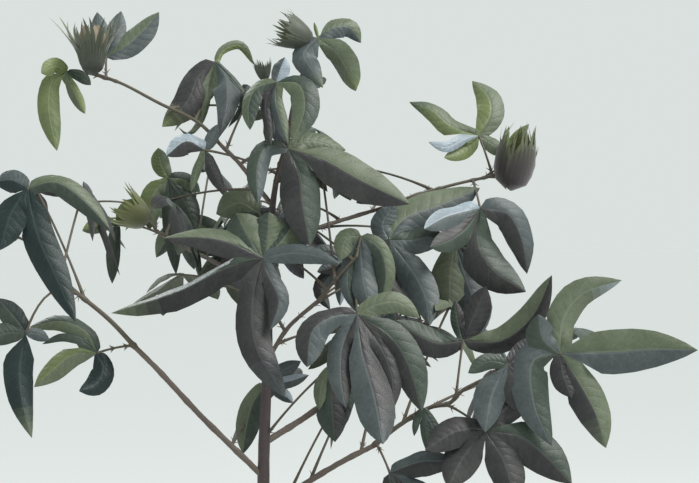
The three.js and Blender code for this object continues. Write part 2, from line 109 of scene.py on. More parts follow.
def smoothCourse(points):  # a centripetal curve through all the points
    knots = np.array(points, float)
    last = len(knots) - 1
    knots = np.vstack([2 * knots[0] - knots[1], knots, 2 * knots[-1] - knots[-2]])

    def placeAt(t):
        at = np.asarray(t, float) * last
        i = np.clip(np.floor(at).astype(int), 0, last - 1)
        w = (at - i)[..., None]
        p0, p1, p2, p3 = knots[i], knots[i + 1], knots[i + 2], knots[i + 3]
        gaps = [np.sqrt(np.linalg.norm(b - a, axis=-1))[..., None] for a, b in ((p0, p1), (p1, p2), (p2, p3))]
        m1 = ((p1 - p0) / gaps[0] - (p2 - p0) / (gaps[0] + gaps[1]) + (p2 - p1) / gaps[1]) * gaps[1]
        m2 = ((p2 - p1) / gaps[1] - (p3 - p1) / (gaps[1] + gaps[2]) + (p3 - p2) / gaps[2]) * gaps[1]
        c2 = 3 * (p2 - p1) - 2 * m1 - m2
        c3 = 2 * (p1 - p2) + m1 + m2
        return p1 + m1 * w + c2 * w ** 2 + c3 * w ** 3

    return byLength(placeAt)


def bowedCourse(a, b, c):  # from a to c, drawn towards b
    def placeAt(t):
        w = np.asarray(t, float)[..., None]
        return a * (1 - w) ** 2 + b * 2 * w * (1 - w) + c * w ** 2

    return byLength(placeAt)


# The front view that the upper crown's places are read from: how high above the ground its lower edge cuts
# the stem, and the eye, level with the middle of the crown
viewFoot = 690
eye = np.array([54.0, -1262.0, viewFoot + 155])


def widening(back):  # how much wider the view is at a place behind the stem than at the stem
    return (back - eye[1]) / -eye[1]


def seen(place):  # where a place of the front view stands, taken back along the line of sight
    right, height, back = place
    reach = widening(back)
    return np.array([eye[0] + (right - eye[0]) * reach, back, eye[2] + (viewFoot + height - eye[2]) * reach])


def facing(turn, lean):  # a way by its turn in the front view and its lean towards the viewer
    around, level = radians(turn), math.cos(radians(lean))
    return np.array([math.cos(around) * level, -math.sin(radians(lean)), math.sin(around) * level])


def outward(turn, rise):  # a way by its turn about the upright axis and its rise
    around, level = radians(turn), math.cos(radians(rise))
    return np.array([math.cos(around) * level, math.sin(around) * level, math.sin(radians(rise))])


class Pile:  # many small things gathered for one mesh, with what their surfaces are
    def __init__(self):
        self.places, self.surfaces, self.faces, self.finishes = [], [], [], []
        self.count = 0

    def add(self, places, surface, faces, finish):
        for group in faces:
            self.faces.append(np.asarray(group) + self.count)
            self.finishes.append(np.full(len(group), finish))
        self.places.append(places)
        self.surfaces.append(surface)
        self.count += len(places)


def pieceOf(pile, name, materials, sharpest=50):
    groups = [group.ravel() for group in pile.faces]
    loops = np.concatenate(groups)
    totals = np.concatenate([np.full(len(group), group.shape[1]) for group in pile.faces])
    finishes = np.concatenate(pile.finishes)
    used, finishes = np.unique(finishes, return_inverse=True)
    mesh = bpy.data.meshes.new(name)
    places = np.concatenate(pile.places) * mm
    mesh.vertices.add(len(places))
    mesh.vertices.foreach_set("co", places.astype(np.float32).ravel())
    mesh.loops.add(len(loops))
    mesh.loops.foreach_set("vertex_index", loops.astype(np.int32))
    mesh.polygons.add(len(totals))
    mesh.polygons.foreach_set("loop_start", np.concatenate([[0], np.cumsum(totals)[:-1]]).astype(np.int32))
    mesh.polygons.foreach_set("material_index", finishes.astype(np.int32))
    surface = mesh.uv_layers.new(name="surface")
    surface.data.foreach_set("uv", np.concatenate(pile.surfaces)[loops].astype(np.float32).ravel())
    mesh.update(calc_edges=True)
    for index in used:
        mesh.materials.append(materials[index])
    piece = bpy.data.objects.new(name, mesh)
    bpy.context.collection.objects.link(piece)
    bpy.ops.object.select_all(action="DESELECT")
    piece.select_set(True)
    bpy.context.view_layer.objects.active = piece
    bpy.ops.object.shade_smooth_by_angle(angle=radians(sharpest))
    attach(piece, "root")
    return piece


# Shader groups and materials
def newGroup(name, inputs, outputs):
    group = bpy.data.node_groups.new(name, "ShaderNodeTree")
    for label, value in inputs.items():
        socket = group.interface.new_socket(label, in_out="INPUT", socket_type="NodeSocketFloat")
        socket.default_value = value
    for label in outputs:
        group.interface.new_socket(label, in_out="OUTPUT", socket_type="NodeSocketFloat")
    return group, group.nodes.new("NodeGroupInput"), group.nodes.new("NodeGroupOutput")


def node(tree, kind, links=None, values=None, **settings):
    made = tree.nodes.new("ShaderNode" + kind)
    for key, value in settings.items():
        setattr(made, key, value)
    for index, value in (values or {}).items():
        made.inputs[index].default_value = value
    for index, source in (links or {}).items():
        tree.links.new(source, made.inputs[index])
    return made


def maths(tree, operation, a, b=0.0, c=0.0):
    made = tree.nodes.new("ShaderNodeMath")
    made.operation = operation
    for index, value in enumerate((a, b, c)):
        if isinstance(value, (int, float)):
            made.inputs[index].default_value = value
        else:
            tree.links.new(value, made.inputs[index])
    return made.outputs[0]


def ranged(tree, value, was, now, shape="LINEAR"):  # one span of values stretched over another
    spans = {1: was[0], 2: was[1], 3: now[0], 4: now[1]}
    return node(tree, "MapRange", {0: value}, values=spans, interpolation_type=shape).outputs[0]


def noised(tree, place, scale, detail, roughness=0.5):
    return node(tree, "TexNoise", {0: place}, values={2: scale, 3: detail, 4: roughness}).outputs[0]


# A leaf's surface map runs from its midrib, 0, to its rim, 1, and from its hub, 0, to the lobe's tip, 1
veining = {
    "sideVeins": 9.0, "slant": 0.13, "width": 0.3, "curve": 1.25, "wobbleScale": 140.0, "wobble": 0.03,
    "sideEdge": 0.10, "fadeFrom": 0.35, "fadeTo": 0.15, "ribWidths": (0.10, 0.05), "ribEdge": (0.6, 1.3),
    "netScale": 520.0, "netWidth": 0.12, "netDepth": -0.35, "puff": 0.8,
    "broadScale": 55.0, "closeScale": 420.0, "closeShare": 0.4,
}


def leafVeinGroup():
    group, given, out = newGroup(
        "leaf veins",
        {"Side Veins": veining["sideVeins"], "Slant": veining["slant"], "Width": veining["width"]},
        ["Veins", "Relief", "Mottle"],
    )
    surface = node(group, "UVMap", uv_map="surface")
    parts = node(group, "SeparateXYZ", {0: surface.outputs[0]})
    across, along = parts.outputs[0], parts.outputs[1]
    place = node(group, "TexCoord").outputs["Object"]
    wobble = noised(group, place, veining["wobbleScale"], 1.0)
    wobbled = maths(group, "MULTIPLY_ADD", wobble, veining["wobble"], along)
    curved = maths(group, "POWER", across, veining["curve"])
    slanted = maths(group, "MULTIPLY", curved, given.outputs["Slant"])
    phase = maths(group, "MULTIPLY", maths(group, "SUBTRACT", wobbled, slanted), given.outputs["Side Veins"])
    wave = maths(group, "ABSOLUTE", maths(group, "SUBTRACT", maths(group, "FRACT", phase), 0.5))
    side = ranged(group, wave, (0.0, veining["sideEdge"]), (1.0, 0.0), "SMOOTHSTEP")
    fade = ranged(group, across, (veining["fadeFrom"], 1.0), (1.0, veining["fadeTo"]))
    sideVein = maths(group, "MULTIPLY", side, fade)
    ribEdge = maths(group, "DIVIDE", across, ranged(group, along, (0.0, 1.0), veining["ribWidths"]))
    rib = ranged(group, ribEdge, veining["ribEdge"], (1.0, 0.0), "SMOOTHSTEP")
    veins = maths(group, "MAXIMUM", rib, maths(group, "MULTIPLY", sideVein, given.outputs["Width"]))
    cells = node(group, "TexVoronoi", {0: place}, feature="DISTANCE_TO_EDGE", values={2: veining["netScale"]})
    net = ranged(group, cells.outputs[0], (0.0, veining["netWidth"]), (veining["netDepth"], 0.0))
    humps = maths(group, "SINE", maths(group, "MULTIPLY", wave, math.pi))
    puff = maths(group, "MULTIPLY", humps, veining["puff"])
    relief = maths(group, "SUBTRACT", maths(group, "ADD", puff, net), veins)
    broad = noised(group, place, veining["broadScale"], 4.0, 0.6)
    close = noised(group, place, veining["closeScale"], 3.0, 0.7)
    mottle = node(group, "Mix", {2: broad, 3: close}, values={0: veining["closeShare"]})
    group.links.new(veins, out.inputs["Veins"])
    group.links.new(relief, out.inputs["Relief"])
    group.links.new(mottle.outputs[0], out.inputs["Mottle"])
    return group


graining = {
    "scale": 260.0, "stretch": 0.12, "patchScale": 38.0, "poreScale": 330.0, "poreEdge": (0.08, 0.22),
}


def barkGroup():
    group, given, out = newGroup(
        "bark grain", {"Scale": graining["scale"], "Stretch": graining["stretch"]},
        ["Grain", "Patches", "Pores"],
    )
    place = node(group, "TexCoord").outputs["Object"]
    parts = node(group, "SeparateXYZ", {0: place})
    low = maths(group, "MULTIPLY", parts.outputs[2], given.outputs["Stretch"])
    drawn = node(group, "CombineXYZ", {0: parts.outputs[0], 1: parts.outputs[1], 2: low}).outputs[0]
    grain = node(group, "TexNoise", {0: drawn, 2: given.outputs["Scale"]}, values={3: 5.0, 4: 0.65})
    pores = node(group, "TexVoronoi", {0: place}, values={2: graining["poreScale"]})
    group.links.new(grain.outputs[0], out.inputs["Grain"])
    group.links.new(noised(group, place, graining["patchScale"], 3.0, 0.55), out.inputs["Patches"])
    group.links.new(ranged(group, pores.outputs[0], graining["poreEdge"], (1.0, 0.0)), out.inputs["Pores"])
    return group


veinGroup = leafVeinGroup()
grainGroup = barkGroup()


def newMaterial(name):
    material = bpy.data.materials.new(name)
    material.use_nodes = True
    return material, material.node_tree, material.node_tree.nodes["Principled BSDF"]


def blended(tree, share, a, b):
    made = tree.nodes.new("ShaderNodeMix")
    made.data_type = "RGBA"
    for index, value in ((6, a), (7, b)):
        if isinstance(value, tuple):
            made.inputs[index].default_value = (*value, 1)
        else:
            tree.links.new(value, made.inputs[index])
    if isinstance(share, (int, float)):
        made.inputs[0].default_value = share
    else:
        tree.links.new(share, made.inputs[0])
    return made.outputs[2]


noiseSpan = (0.3, 0.7)  # where most values of a noise lie


def bumped(tree, shader, height, strength, distance):
    bump = node(tree, "Bump", {"Height": height}, values={0: strength, 1: distance})
    tree.links.new(bump.outputs[0], shader.inputs["Normal"])


leafSkin = {  # roughness and sheen are those of the upper face and underneath
    "patches": (0.42, 0.60), "veinShare": 0.5, "rough": (0.45, 0.6), "roughSpread": (-0.07, 0.08),
    "specular": 0.35, "sheen": (0.05, 0.1), "sheenRough": 0.4, "sheenTint": (0.75, 0.85, 1.0, 1.0),
    "bump": (0.3, 0.0005),
}


def leafMaterial(name, base, patch, vein, under):
    material, tree, shader = newMaterial(name)
    veins = tree.nodes.new("ShaderNodeGroup")
    veins.node_tree = veinGroup
    mottle = veins.outputs["Mottle"]
    colour = blended(tree, ranged(tree, mottle, leafSkin["patches"], (0.0, 1.0)), base, patch)
    ribbed = maths(tree, "MULTIPLY", veins.outputs["Veins"], leafSkin["veinShare"])
    tree.links.new(blended(tree, ribbed, colour, vein), shader.inputs["Base Color"])
    rough = [leafSkin["rough"][under] + more for more in leafSkin["roughSpread"]]
    tree.links.new(ranged(tree, mottle, noiseSpan, rough), shader.inputs["Roughness"])
    shader.inputs["Specular IOR Level"].default_value = leafSkin["specular"]
    shader.inputs["Sheen Weight"].default_value = leafSkin["sheen"][under]
    shader.inputs["Sheen Roughness"].default_value = leafSkin["sheenRough"]
    shader.inputs["Sheen Tint"].default_value = leafSkin["sheenTint"]
    bumped(tree, shader, veins.outputs["Relief"], *leafSkin["bump"])
    return material


# Leaf colours, dealt out by half lobes: the upper face, its patches and the veins, and the same underneath
# Several of them are painted light: painted sheen, shade and highlights, dealt to the half lobe where they
# fall
leafTones = {
    "dark": [[(0.027, 0.041, 0.031), (0.046, 0.064, 0.048), (0.075, 0.095, 0.072)],
             [(0.040, 0.041, 0.040), (0.054, 0.053, 0.052), (0.09, 0.10, 0.09)]],
    "deep": [[(0.006, 0.017, 0.016), (0.013, 0.027, 0.025), (0.038, 0.060, 0.056)],
             [(0.032, 0.036, 0.036), (0.044, 0.048, 0.048), (0.08, 0.09, 0.09)]],
    # blue: blue-grey, a painted sheen, the sky's reflection on the halves that face it
    "sheen_blue": [[(0.052, 0.066, 0.068), (0.080, 0.098, 0.096), (0.12, 0.14, 0.14)],
             [(0.054, 0.058, 0.062), (0.070, 0.074, 0.080), (0.12, 0.13, 0.14)]],
    "fresh": [[(0.080, 0.100, 0.060), (0.110, 0.134, 0.086), (0.16, 0.18, 0.13)],
              [(0.084, 0.096, 0.064), (0.102, 0.114, 0.078), (0.16, 0.17, 0.13)]],
    "young": [[(0.135, 0.168, 0.066), (0.104, 0.134, 0.058), (0.20, 0.22, 0.12)],
              [(0.138, 0.165, 0.076), (0.112, 0.138, 0.066), (0.20, 0.22, 0.13)]],
    # purple: dark purple-grey, painted shade on the halves and undersides turned away from the light
    "shade_purple": [[(0.026, 0.025, 0.027), (0.042, 0.043, 0.041), (0.072, 0.070, 0.072)],
               [(0.038, 0.034, 0.038), (0.050, 0.045, 0.049), (0.085, 0.08, 0.085)]],
    # dusky: near black, painted deep shade on a half lobe turned away from the light
    "shade_dusky": [[(0.009, 0.009, 0.010), (0.018, 0.018, 0.018), (0.046, 0.046, 0.048)],
              [(0.030, 0.029, 0.031), (0.042, 0.040, 0.042), (0.07, 0.07, 0.072)]],
    # pale: blue-white, a painted highlight and glare on the edges and halves that face the light
    "highlight_pale": [[(0.30, 0.36, 0.40), (0.22, 0.26, 0.29), (0.38, 0.42, 0.46)],
             [(0.32, 0.35, 0.39), (0.24, 0.27, 0.30), (0.38, 0.40, 0.44)]],
}
leafMaterials, leafFinishes = [], {}


def leafFinish(tone, tip, step, under):  # which material: a tone, or a step on the way to the tone of the tip
    step = 0 if tone == tip else step
    key = (tone, tip if step else tone, step, under)
    if key not in leafFinishes:
        share = step / leaf["tipSteps"]
        colours = [
            tuple(mixed(np.array(a), np.array(b), share).tolist())
            for a, b in zip(leafTones[tone][under], leafTones[tip][under])
        ]
        name = f"leaf {tone} {'under' if under else 'top'}" + (f" {step} to {tip}" if step else "")
        leafFinishes[key] = len(leafMaterials)
        leafMaterials.append(leafMaterial(name, *colours, under))
    return leafFinishes[key]


barkSkin = {"poreShare": 0.3, "pores": (0.20, 0.165, 0.14), "rough": (0.5, 0.78), "bump": (0.6, 0.0008)}
barks = {  # each kind's two colours where it is young and where it is old, and the heights in metres between
    "stem bark": {
        "young": [(0.044, 0.031, 0.034), (0.070, 0.054, 0.052)],
        "old": [(0.052, 0.038, 0.036), (0.150, 0.118, 0.100)], "fade": (0.30, 0.75),
    },
    "bough bark": {
        "young": [(0.094, 0.070, 0.063), (0.150, 0.124, 0.096)],
        "old": [(0.110, 0.086, 0.078), (0.215, 0.178, 0.148)], "fade": (0.15, 0.55),
    },
    "twig bark": {
        "young": [(0.078, 0.054, 0.050), (0.096, 0.092, 0.054)],
        "old": [(0.072, 0.048, 0.046), (0.105, 0.088, 0.056)], "fade": (0.20, 0.60),
    },
}


def barkMaterial(name):  # its young colours above and its old ones below
    bark = barks[name]
    material, tree, shader = newMaterial(name)
    grain = tree.nodes.new("ShaderNodeGroup")
    grain.node_tree = grainGroup
    place = node(tree, "TexCoord").outputs["Object"]
    height = node(tree, "SeparateXYZ", {0: place}).outputs[2]
    fresh = blended(tree, grain.outputs["Patches"], *bark["young"])
    aged = blended(tree, grain.outputs["Grain"], *bark["old"])
    colour = blended(tree, ranged(tree, height, bark["fade"], (0.0, 1.0)), aged, fresh)
    spotted = maths(tree, "MULTIPLY", grain.outputs["Pores"], barkSkin["poreShare"])
    tree.links.new(blended(tree, spotted, colour, barkSkin["pores"]), shader.inputs["Base Color"])
    rough = ranged(tree, grain.outputs["Grain"], noiseSpan, barkSkin["rough"])
    tree.links.new(rough, shader.inputs["Roughness"])
    bumped(tree, shader, grain.outputs["Grain"], *barkSkin["bump"])
    return material


stemBark, boughBark, twigBark = (barkMaterial(name) for name in barks)
print("materials made")


# Limbs
stem = {
    "lowerCourse": [[0, 0, 0], [0, 0, 50], [-5, 4, 240], [5, -4, 480]],
    "upperCourse": [[-1, 0, 0], [2, 97, 0], [1, 142, 0], [4, 172, 0], [8, 200, 0], [15, 224, 0]],
    "footRadius": 9.8, "tipRadius": 1.3, "taper": 0.85, "flare": 5, "flareHeight": 20,
    "sides": 36, "rings": 96, "jointSize": 0.1, "halvings": 30,
}
stemKnots = stem["lowerCourse"] + [seen(place) for place in stem["upperCourse"]]
stemCourse = smoothCourse(stemKnots)
stemTop = stemKnots[-1][2]


def stemRadius(height):
    left = np.maximum(1 - height / stemTop, 0) ** stem["taper"]
    flare = stem["flare"] * np.exp(-height / stem["flareHeight"])
    return mixed(stem["tipRadius"], stem["footRadius"], left) + flare


def stemAxis(height):  # the middle of the stem at a height
    low, high = 0.0, 1.0
    for _ in range(stem["halvings"]):
        middle = (low + high) / 2
        if stemCourse(middle)[2] < height:
            low = middle
        else:
            high = middle
    return stemCourse(low)


def framesAlong(places):  # a way across for each place of a line, with no twist from one to the next
    ways = np.gradient(places, axis=0)
    ways /= np.linalg.norm(ways, axis=1)[:, None]
    across = unit(np.cross(ways[0], [0.3, 1.0, 0.1]))
    rows = []
    for way in ways:
        across = unit(across - way * (across @ way))
        rows.append(across)
    rows = np.array(rows)
    return rows, np.cross(ways, rows)


def cutAcross(mesh, cuts):  # rings cut across all the upright edges of a cylinder
    for edge in mesh.edges:
        a, b = (mesh.vertices[i].co for i in edge.vertices)
        edge.select = abs(a.z - b.z) > 1e-4 and a.xy.length > 0.5 and b.xy.length > 0.5
    bpy.ops.object.mode_set(mode="EDIT")
    bpy.ops.mesh.subdivide(number_cuts=cuts)
    bpy.ops.mesh.select_all(action="DESELECT")
    bpy.ops.object.mode_set(mode="OBJECT")


# How far ridges stand out and furrows cut in, as shares of the bark's depth, and a joint's reach in mm
furrows = {"ridge": 0.4, "cut": 1.6, "octaves": 3, "jointReach": 3.2}


def limbPiece(name, course, radiusAt, cut, relief, joints, material):  # a barked limb with swollen joints
    sides, rings = cut["sides"], cut["rings"]
    bpy.ops.object.select_all(action="DESELECT")
    bpy.ops.mesh.primitive_cylinder_add(vertices=sides, radius=1, depth=1, end_fill_type="TRIFAN")
    piece = bpy.context.object
    piece.name = name
    mesh = piece.data
    bpy.ops.object.mode_set(mode="EDIT")
    bpy.ops.mesh.select_mode(type="EDGE")
    bpy.ops.mesh.select_all(action="DESELECT")
    bpy.ops.object.mode_set(mode="OBJECT")
    cutAcross(mesh, rings - 1)
    co = np.empty(len(mesh.vertices) * 3)
    mesh.vertices.foreach_get("co", co)
    co = co.reshape(-1, 3)
    shares = np.linspace(0, 1, rings + 1)
    centres = course(shares)
    across, beside = framesAlong(centres)
    ring = np.rint((co[:, 2] + 0.5) * rings).astype(int)
    run = np.concatenate([[0], np.cumsum(np.linalg.norm(np.diff(centres, axis=0), axis=1))])
    radius = radiusAt(shares, centres)
    for at, size in joints:
        radius = radius * (1 + size * np.exp(-((run - at) / furrows["jointReach"]) ** 2))
    spots = [
        Vector((x * relief["round"], y * relief["round"], run[i] * relief["along"]))
        for (x, y, z), i in zip(co, ring)
    ]
    grain = np.array([noise.fractal(spot, 1.0, 2.0, furrows["octaves"]) for spot in spots])
    deep = mixed(relief["depth"][0], relief["depth"][1], shares)[ring]
    ridges = deep * (furrows["ridge"] - np.abs(grain) * furrows["cut"])
    reach = radius[ring] + ridges * np.hypot(co[:, 0], co[:, 1])
    places = centres[ring] + across[ring] * (co[:, 0] * reach)[:, None]
    places += beside[ring] * (co[:, 1] * reach)[:, None]
    places[:, 2] = np.maximum(places[:, 2], 0)
    mesh.vertices.foreach_set("co", (places * mm).ravel())
    mesh.update()
    bpy.ops.object.mode_set(mode="EDIT")
    bpy.ops.mesh.select_all(action="SELECT")
    bpy.ops.mesh.normals_make_consistent(inside=False)
    bpy.ops.object.mode_set(mode="OBJECT")
    mesh.materials.append(material)
    bpy.ops.object.shade_smooth_by_angle(angle=radians(60))
    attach(piece, "root")
    return piece


# A twig's joints swell by the size over the reach, a share of its length, and the tip rounds off its end
swelling = {"size": 0.45, "reach": 0.018, "tip": 0.6}


def tube(pile, course, radii, sides, steps, joints=()):  # a twig or stalk, closed at both ends
    shares = np.linspace(0, 1, steps + 1)
    centres = course(shares)
    across, beside = framesAlong(centres)
    angles = np.arange(sides) * 2 * math.pi / sides
    ring = np.cos(angles)[None, :, None] * across[:, None] + np.sin(angles)[None, :, None] * beside[:, None]
    reach = np.interp(shares, np.linspace(0, 1, len(radii)), radii)
    for joint in joints:
        reach = reach * (1 + swelling["size"] * np.exp(-((shares - joint) / swelling["reach"]) ** 2))
    places = centres[:, None] + ring * reach[:, None, None]
    point = centres[-1] + unit(centres[-1] - centres[-2]) * reach[-1] * swelling["tip"]
    ends = np.array([centres[0], point])
    i, j = np.meshgrid(np.arange(steps), np.arange(sides), indexing="ij")
    a, b = (i * sides + j).ravel(), (i * sides + (j + 1) % sides).ravel()
    sideFaces = np.stack([a, b, b + sides, a + sides], axis=1)
    start, end = (steps + 1) * sides, (steps + 1) * sides + 1
    k = np.arange(sides)
    caps = np.concatenate([
        np.stack([np.full(sides, start), (k + 1) % sides, k], axis=1),
        np.stack([np.full(sides, end), steps * sides + k, steps * sides + (k + 1) % sides], axis=1),
    ])
    surface = np.zeros((end + 1, 2))
    surface[:start, 0] = np.tile(k / sides, steps + 1)
    surface[:start, 1] = np.repeat(shares, sides)
    pile.add(np.concatenate([places.reshape(-1, 3), ends]), surface, [sideFaces, caps], 0)


# Leaves, in shares of their lobes' lengths. Their thickness, rib and narrowest half are in millimetres.
leaf = {
    "angles": [-110, -54, 0, 54, 110], "lengths": [0.62, 0.86, 1, 0.86, 0.62], "halfWidth": 0.18,
    "widthAt": [0, 0.1, 0.25, 0.42, 0.58, 0.72, 0.84, 0.93, 1],
    "widths": [0.38, 0.62, 0.86, 1.0, 0.98, 0.84, 0.58, 0.3, 0],
    "bulge": 0.06, "rollFrom": 0.3, "tipFrom": [0.66, 0.73, 0.8, 0.86, 0.92], "tipSteps": 5,
    "sinus": 0.14, "deepestSinus": 0.36, "spread": 0.46, "loosening": 0.5,
    "thickness": 0.45, "thinning": 0.5, "rib": 0.6, "ribThinning": 0.7, "groove": 0.2, "narrowest": 0.3,
    "wave": 0.06, "waves": [2, 4], "waveTurn": 6.3, "wayAt": 0.25,
}
fineCut = {
    "stations": [0.05, 0.11, 0.17, 0.23, 0.30, 0.38, 0.46, 0.54, 0.62, 0.70, 0.78, 0.85, 0.91, 0.96],
    "columns": [0.07, 0.38, 0.72, 1.0],
}
coarseCut = {
    "stations": [0.06, 0.13, 0.21, 0.31, 0.43, 0.56, 0.70, 0.82, 0.92], "columns": [0.1, 0.5, 1.0],
}
toneOf = {
    "d": "dark", "n": "deep", "b": "sheen_blue", "f": "fresh", "y": "young", "p": "shade_purple", "k": "shade_dusky",
    "w": "highlight_pale",
}


# A lobe's tones are those of its clockwise side, its other side and its tips. Where early is below 1, its
# widest place is nearer the hub.
# Different tones on the two sides paint one half lit or sheened and the other in shade, as light falls on a
# folded lobe.
def lobeOf(course, length, half, roll, fold, tones, early=1):
    return {
        "course": course, "length": length, "half": half, "roll": roll, "fold": fold, "tones": tones,
        "early": early,
    }


def lobeFrame(lobe, normal, stations, ramp):  # its middle line, way across, face and half width
    line = lobe["course"](np.concatenate([[0], stations, [1]]))
    along = np.gradient(line, axis=0)[1:-1]
    along /= np.linalg.norm(along, axis=1)[:, None]
    across = np.cross(normal, along)
    across /= np.linalg.norm(across, axis=1)[:, None]
    face = np.cross(along, across)
    roll = radians(lobe["roll"]) * ramp
    half = lobe["half"] * np.interp(stations ** lobe["early"], leaf["widthAt"], leaf["widths"])
    sideways = across * np.cos(roll) + face * np.sin(roll)
    return line[1:-1], sideways, face * np.cos(roll) - across * np.sin(roll), half


def joinedStations(lobes, ways, stations):  # how many stations each pair of neighbours shares
    joints = []
    for (a, wayA), (b, wayB) in zip(zip(lobes, ways), zip(lobes[1:], ways[1:])):
        half = math.acos(np.clip(wayA @ wayB, -1, 1)) / 2
        share = min(leaf["sinus"] / max(math.sin(half), 0.05), leaf["deepestSinus"])
        share *= min(a["length"], b["length"]) / ((a["length"] + b["length"]) / 2)
        joints.append(max(int(np.sum(stations <= share)), 1))
    return joints


def halfLobeFinishes(lobe, side, under, stations):  # from its own tone to that of its tip
    tones = [toneOf[letter] for letter in lobe["tones"]]
    tips = (tones[2:] * 2 or tones)[:2]
    tone, tip = (pair[0 if side < 0 else 1] for pair in (tones, tips))
    steps = np.digitize(stations[1:], leaf["tipFrom"])
    return [leafFinish(tone, tip, int(step), under) for step in [0, *steps]]


def blade(pile, hub, lobes, cut, random):  # a closed leaf: both faces of each lobe, joined near the hub
    stations, columns = np.array(cut["stations"]), cut["columns"]
    s = stations[:, None]
    ways = [unit(lobe["course"](leaf["wayAt"]) - hub) for lobe in lobes]
    normal = unit(sum(np.cross(a, b) for a, b in zip(ways, ways[1:])))
    ramp = np.clip(s / leaf["rollFrom"], 0, 1)
    ramp = ramp * ramp * (3 - 2 * ramp)
    frames = [lobeFrame(lobe, normal, stations, ramp) for lobe in lobes]
    lines, sideways, faces, halves = zip(*frames)
    joints = joinedStations(lobes, ways, stations)
    places, surface = [], []

    def keep(points, across, along):
        first = len(surface)
        points = np.atleast_2d(points)
        places.append(points)
        surface.extend((across, value) for value in np.broadcast_to(along, len(points)))
        return np.arange(first, first + len(points))

    hubs = [keep(hub + normal * leaf["thickness"] / 2, 0, 0)[0], keep(hub - normal * leaf["rib"], 0, 0)[0]]
    shared = []
    for i, count in enumerate(joints):
        middle = (lines[i][:count] + lines[i + 1][:count]) / 2
        lift = np.tile(unit(faces[i][0] + faces[i + 1][0]) * leaf["thickness"] / 2, (count, 1))
        lift[-1] = 0
        top = keep(middle + lift, 1, stations[:count])
        under = keep(middle - lift, 1, stations[:count])
        under[-1] = top[-1]
        shared.append((top, under, middle))
    made = []
    for i, lobe in enumerate(lobes):
        point = keep(lobe["course"](1.0), 0, 1)[0]
        thin = leaf["thickness"] / 2 * (1 - leaf["thinning"] * s)
        ridge = thin + leaf["rib"] * (1 - leaf["ribThinning"] * s)
        ribs = [
            keep(lines[i] + faces[i] * thin * leaf["groove"], 0, stations),
            keep(lines[i] - faces[i] * ridge, 0, stations),
        ]
        fold = radians(lobe["fold"]) * ramp
        for side in (-1, 1):
            pair = i - 1 if side < 0 else i
            joined = 0 <= pair < len(joints)
            count = joints[pair] if joined else 0
            reach = halves[i].copy()
            if joined:
                gap = np.linalg.norm(lines[i] - lines[i + side], axis=1)
                room = (leaf["spread"] + leaf["loosening"] * stations) * gap + leaf["narrowest"]
                reach = np.minimum(reach, room)
            phase = next(random) * leaf["waveTurn"]
            waves = mixed(*leaf["waves"], next(random))
            ripple = leaf["wave"] * np.sin(stations * waves * leaf["waveTurn"] + phase)[:, None]
            flat = sideways[i] * side * np.cos(fold) + faces[i] * (np.sin(fold) + ripple)
            rim = lines[i] + flat * reach[:, None]
            free = keep(rim, 1, stations)
            rims = [free.copy(), free.copy()]
            if count:
                for under in (0, 1):
                    rims[under][:count] = shared[pair][under]
                rim[:count] = shared[pair][2]
            for under in (0, 1):
                rows = [ribs[under]]
                for t in columns[:-1]:
                    bulge = leaf["bulge"] * math.sin(math.pi * t) * reach
                    fill = lines[i] + (rim - lines[i]) * t + faces[i] * bulge[:, None]
                    thick = thin * (1 - t ** 3)
                    rows.append(keep(fill + faces[i] * (-thick if under else thick), t, stations))
                rows.append(rims[under])
                grid = np.stack(rows, axis=1)
                flip = (side > 0) != (under > 0)
                a, b, c, d = grid[:-1, :-1], grid[:-1, 1:], grid[1:, 1:], grid[1:, :-1]
                order = (a, d, c, b) if flip else (a, b, c, d)
                quads = np.stack(order, axis=2)
                start, end = np.full(len(columns), hubs[under]), np.full(len(columns), point)
                fans = [(start, grid[0, :-1], grid[0, 1:]), (end, grid[-1, 1:], grid[-1, :-1])]
                fans = [np.stack((x, y, z) if flip else (x, z, y), axis=1) for x, y, z in fans]
                finishes = halfLobeFinishes(lobe, side, under, stations)
                made += [(fans[0], finishes[0]), (fans[1], finishes[-1])]
                made += [(row, finish) for row, finish in zip(quads, finishes)]
    base = pile.count
    pile.places.append(np.concatenate(places))
    pile.surfaces.append(np.array(surface))
    pile.count += len(surface)
    for group, finish in made:
        pile.faces.append(group + base)
        pile.finishes.append(np.full(len(group), finish))


def palmate(along, hint, size, sag):  # the ways and lengths of a leaf's lobes by the rule
    across = unit(np.cross(hint, along))
    lobes = []
    for angle, length in zip(leaf["angles"], leaf["lengths"]):
        way = unit(along * math.cos(radians(angle)) + across * math.sin(radians(angle)) - up * sag)
        lobes.append((way, size * length))
    return lobes


droop = {
    "arch": [0.02, 0.12], "bend": 0.10, "fold": [-34, -12], "roll": 16, "width": [0.85, 1.1], "hang": 0.16,
    "reach": 0.99,
}


def grownLobes(hub, lobes, tones, random):  # the rule's straight lobes, bent and folded as leaves hang
    grown = []
    normal = unit(sum(np.cross(a[0], b[0]) for a, b in zip(lobes, lobes[1:])))
    for way, length in lobes:
        across = unit(np.cross(normal, way))
        above = np.cross(way, across)
        arch = mixed(*droop["arch"], next(random)) * length
        bend = (next(random) * 2 - 1) * droop["bend"] * length
        hang = -up * length * droop["hang"] * next(random)
        middle = hub + way * length / 2 + (above * arch + across * bend) * 2
        course = bowedCourse(hub, middle, hub + way * length * droop["reach"] + hang)
        half = length * leaf["halfWidth"] * mixed(*droop["width"], next(random))
        roll = (next(random) * 2 - 1) * droop["roll"]
        grown.append(lobeOf(course, length, half, roll, mixed(*droop["fold"], next(random)), tones))
    return grown


stalks = {
    "radii": [1.25, 0.8, 0.75, 0.75, 0.95], "sides": 7, "steps": 9, "bow": 0.08, "shortest": 2, "sink": 1,
    "past": 1,
    "whorl": {"count": 4, "length": 4.5, "radii": [0.5, 0.12], "spread": 0.9, "lift": 0.6},
}


